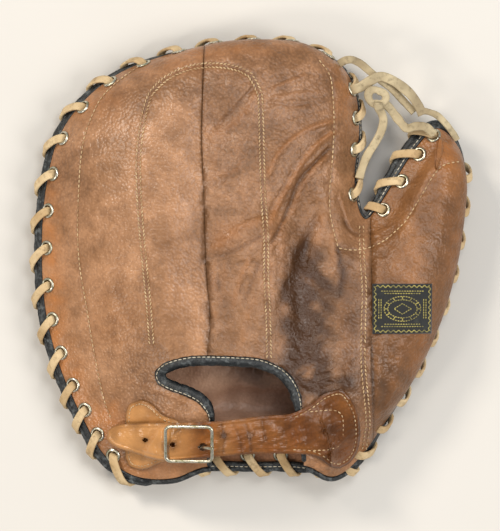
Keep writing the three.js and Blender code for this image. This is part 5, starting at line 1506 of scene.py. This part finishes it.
def labelStitches():
    # a zigzag border and a plain ring with a lozenge and bars in it
    w, h = label["width"] / 2 - 1.6, label["height"] / 2 - 1.6
    ring = np.array([(-w, -h), (w, -h), (w, h), (-w, h), (-w, -h)])
    rows = []
    for a, b in zip(ring[:-1], ring[1:]):
        count = int(np.linalg.norm(b - a) / 1.5)
        line = a + (b - a) * np.linspace(0, 1, count + 1)[:, None]
        sway = unit(np.array([-(b - a)[1], (b - a)[0]])) * 0.7
        line = line + sway * np.where(np.arange(count + 1) % 2, 1, -1)[:, None]
        rows += [labelRow(line[i:i + 2], 3) for i in range(count)]
    angle = np.linspace(0, 2 * math.pi, 60)
    circle = np.stack([np.cos(angle), np.sin(angle)], 1)
    rows += [labelRow(circle * [11.0, 7.4], 1.6), labelRow(circle * [8.8, 5.4], 1.6)]
    rows.append(labelRow([(-5, 0), (0, 3.2), (5, 0), (0, -3.2), (-5, 0)], 1.5))
    for y, half in ((-10.6, 13), (-9.2, 11), (10.6, 13), (9.2, 11)):
        rows.append(labelRow([(-half, y), (half, y)], 1.5))
    for x in (-14.2, -12.8, 12.8, 14.2):
        rows.append(labelRow([(x, -6), (x, 6)], 1.5))
    for n in range(12):
        spoke = np.array([math.cos(n * math.pi / 6), math.sin(n * math.pi / 6)])
        rows.append(labelRow([spoke * [9.2, 5.8], spoke * [10.6, 7.0]], 1.4))
    return joinRows(rows)


dress(stitchMesh("label_stitches", *labelStitches(), 1.4, 0.72, goldThread), "label_cloth")
print("stitches done")


# Floor, light and camera
def floorBoard():
    # the board that the mitt lies on, left out of the model
    side = 3.0
    mesh = bpy.data.meshes.new("floor")
    mesh.from_pydata([(-side, -side, 0), (side, -side, 0), (side, side, 0), (-side, side, 0)], [], [(0, 1, 2, 3)])
    mesh.materials.append(paleBoard("painted board", "#d6d3cd", "#cbc8c2"))
    made = bpy.data.objects.new("floor", mesh)
    bpy.context.scene.collection.objects.link(made)


def areaLight(name, place, aim, size, power, colour):
    # a round soft lamp that looks at its aim
    data = bpy.data.lights.new(name, "AREA")
    data.shape = "DISK"
    data.size = size
    data.energy = power
    data.color = hexColour(colour)[:3]
    made = bpy.data.objects.new(name, data)
    made.location = place
    way = np.array(aim) - np.array(place)
    made.rotation_euler = (math.acos(-way[2] / np.linalg.norm(way)), 0, math.atan2(way[0], -way[1]) + math.pi)
    bpy.context.scene.collection.objects.link(made)


floorBoard()
# place in metres, width, power in watts and colour
lights = {
    "key": ((-1.15, 1.05, 1.5), 0.5, 22.5, "#fff4e6"),
    "fill": ((1.1, -0.3, 1.3), 0.8, 14.0, "#fbf6f0"),
    "top": ((0.35, 0.45, 1.6), 0.6, 8.5, "#ffffff"),
    "side": ((-1.1, -0.7, 1.25), 0.4, 8.0, "#fff6ea"),
}
for name, (place, wide, power, colour) in lights.items():
    areaLight(name, place, (0.0, 0.0, 0.03), wide, power, colour)

world = bpy.data.worlds.new("studio")
world.use_nodes = True
world.node_tree.nodes["Background"].inputs["Color"].default_value = hexColour("#dfe3e8")
world.node_tree.nodes["Background"].inputs["Strength"].default_value = 0.45
bpy.context.scene.world = world
bpy.context.scene.view_settings.view_transform = "Standard"

# a long lens from far above, because the photograph shows hardly any perspective
camera = {"lens": 303.5, "distance": 2.7, "height": 0.03}
view = bpy.data.cameras.new("camera")
view.lens = camera["lens"]
view.sensor_width = 36
aim = (np.array([-1.5, -2.5]) + shift[:2]) * millimetre
viewer = bpy.data.objects.new("camera", view)
viewer.location = (aim[0], aim[1], camera["distance"] + camera["height"])
bpy.context.scene.collection.objects.link(viewer)
bpy.context.scene.camera = viewer
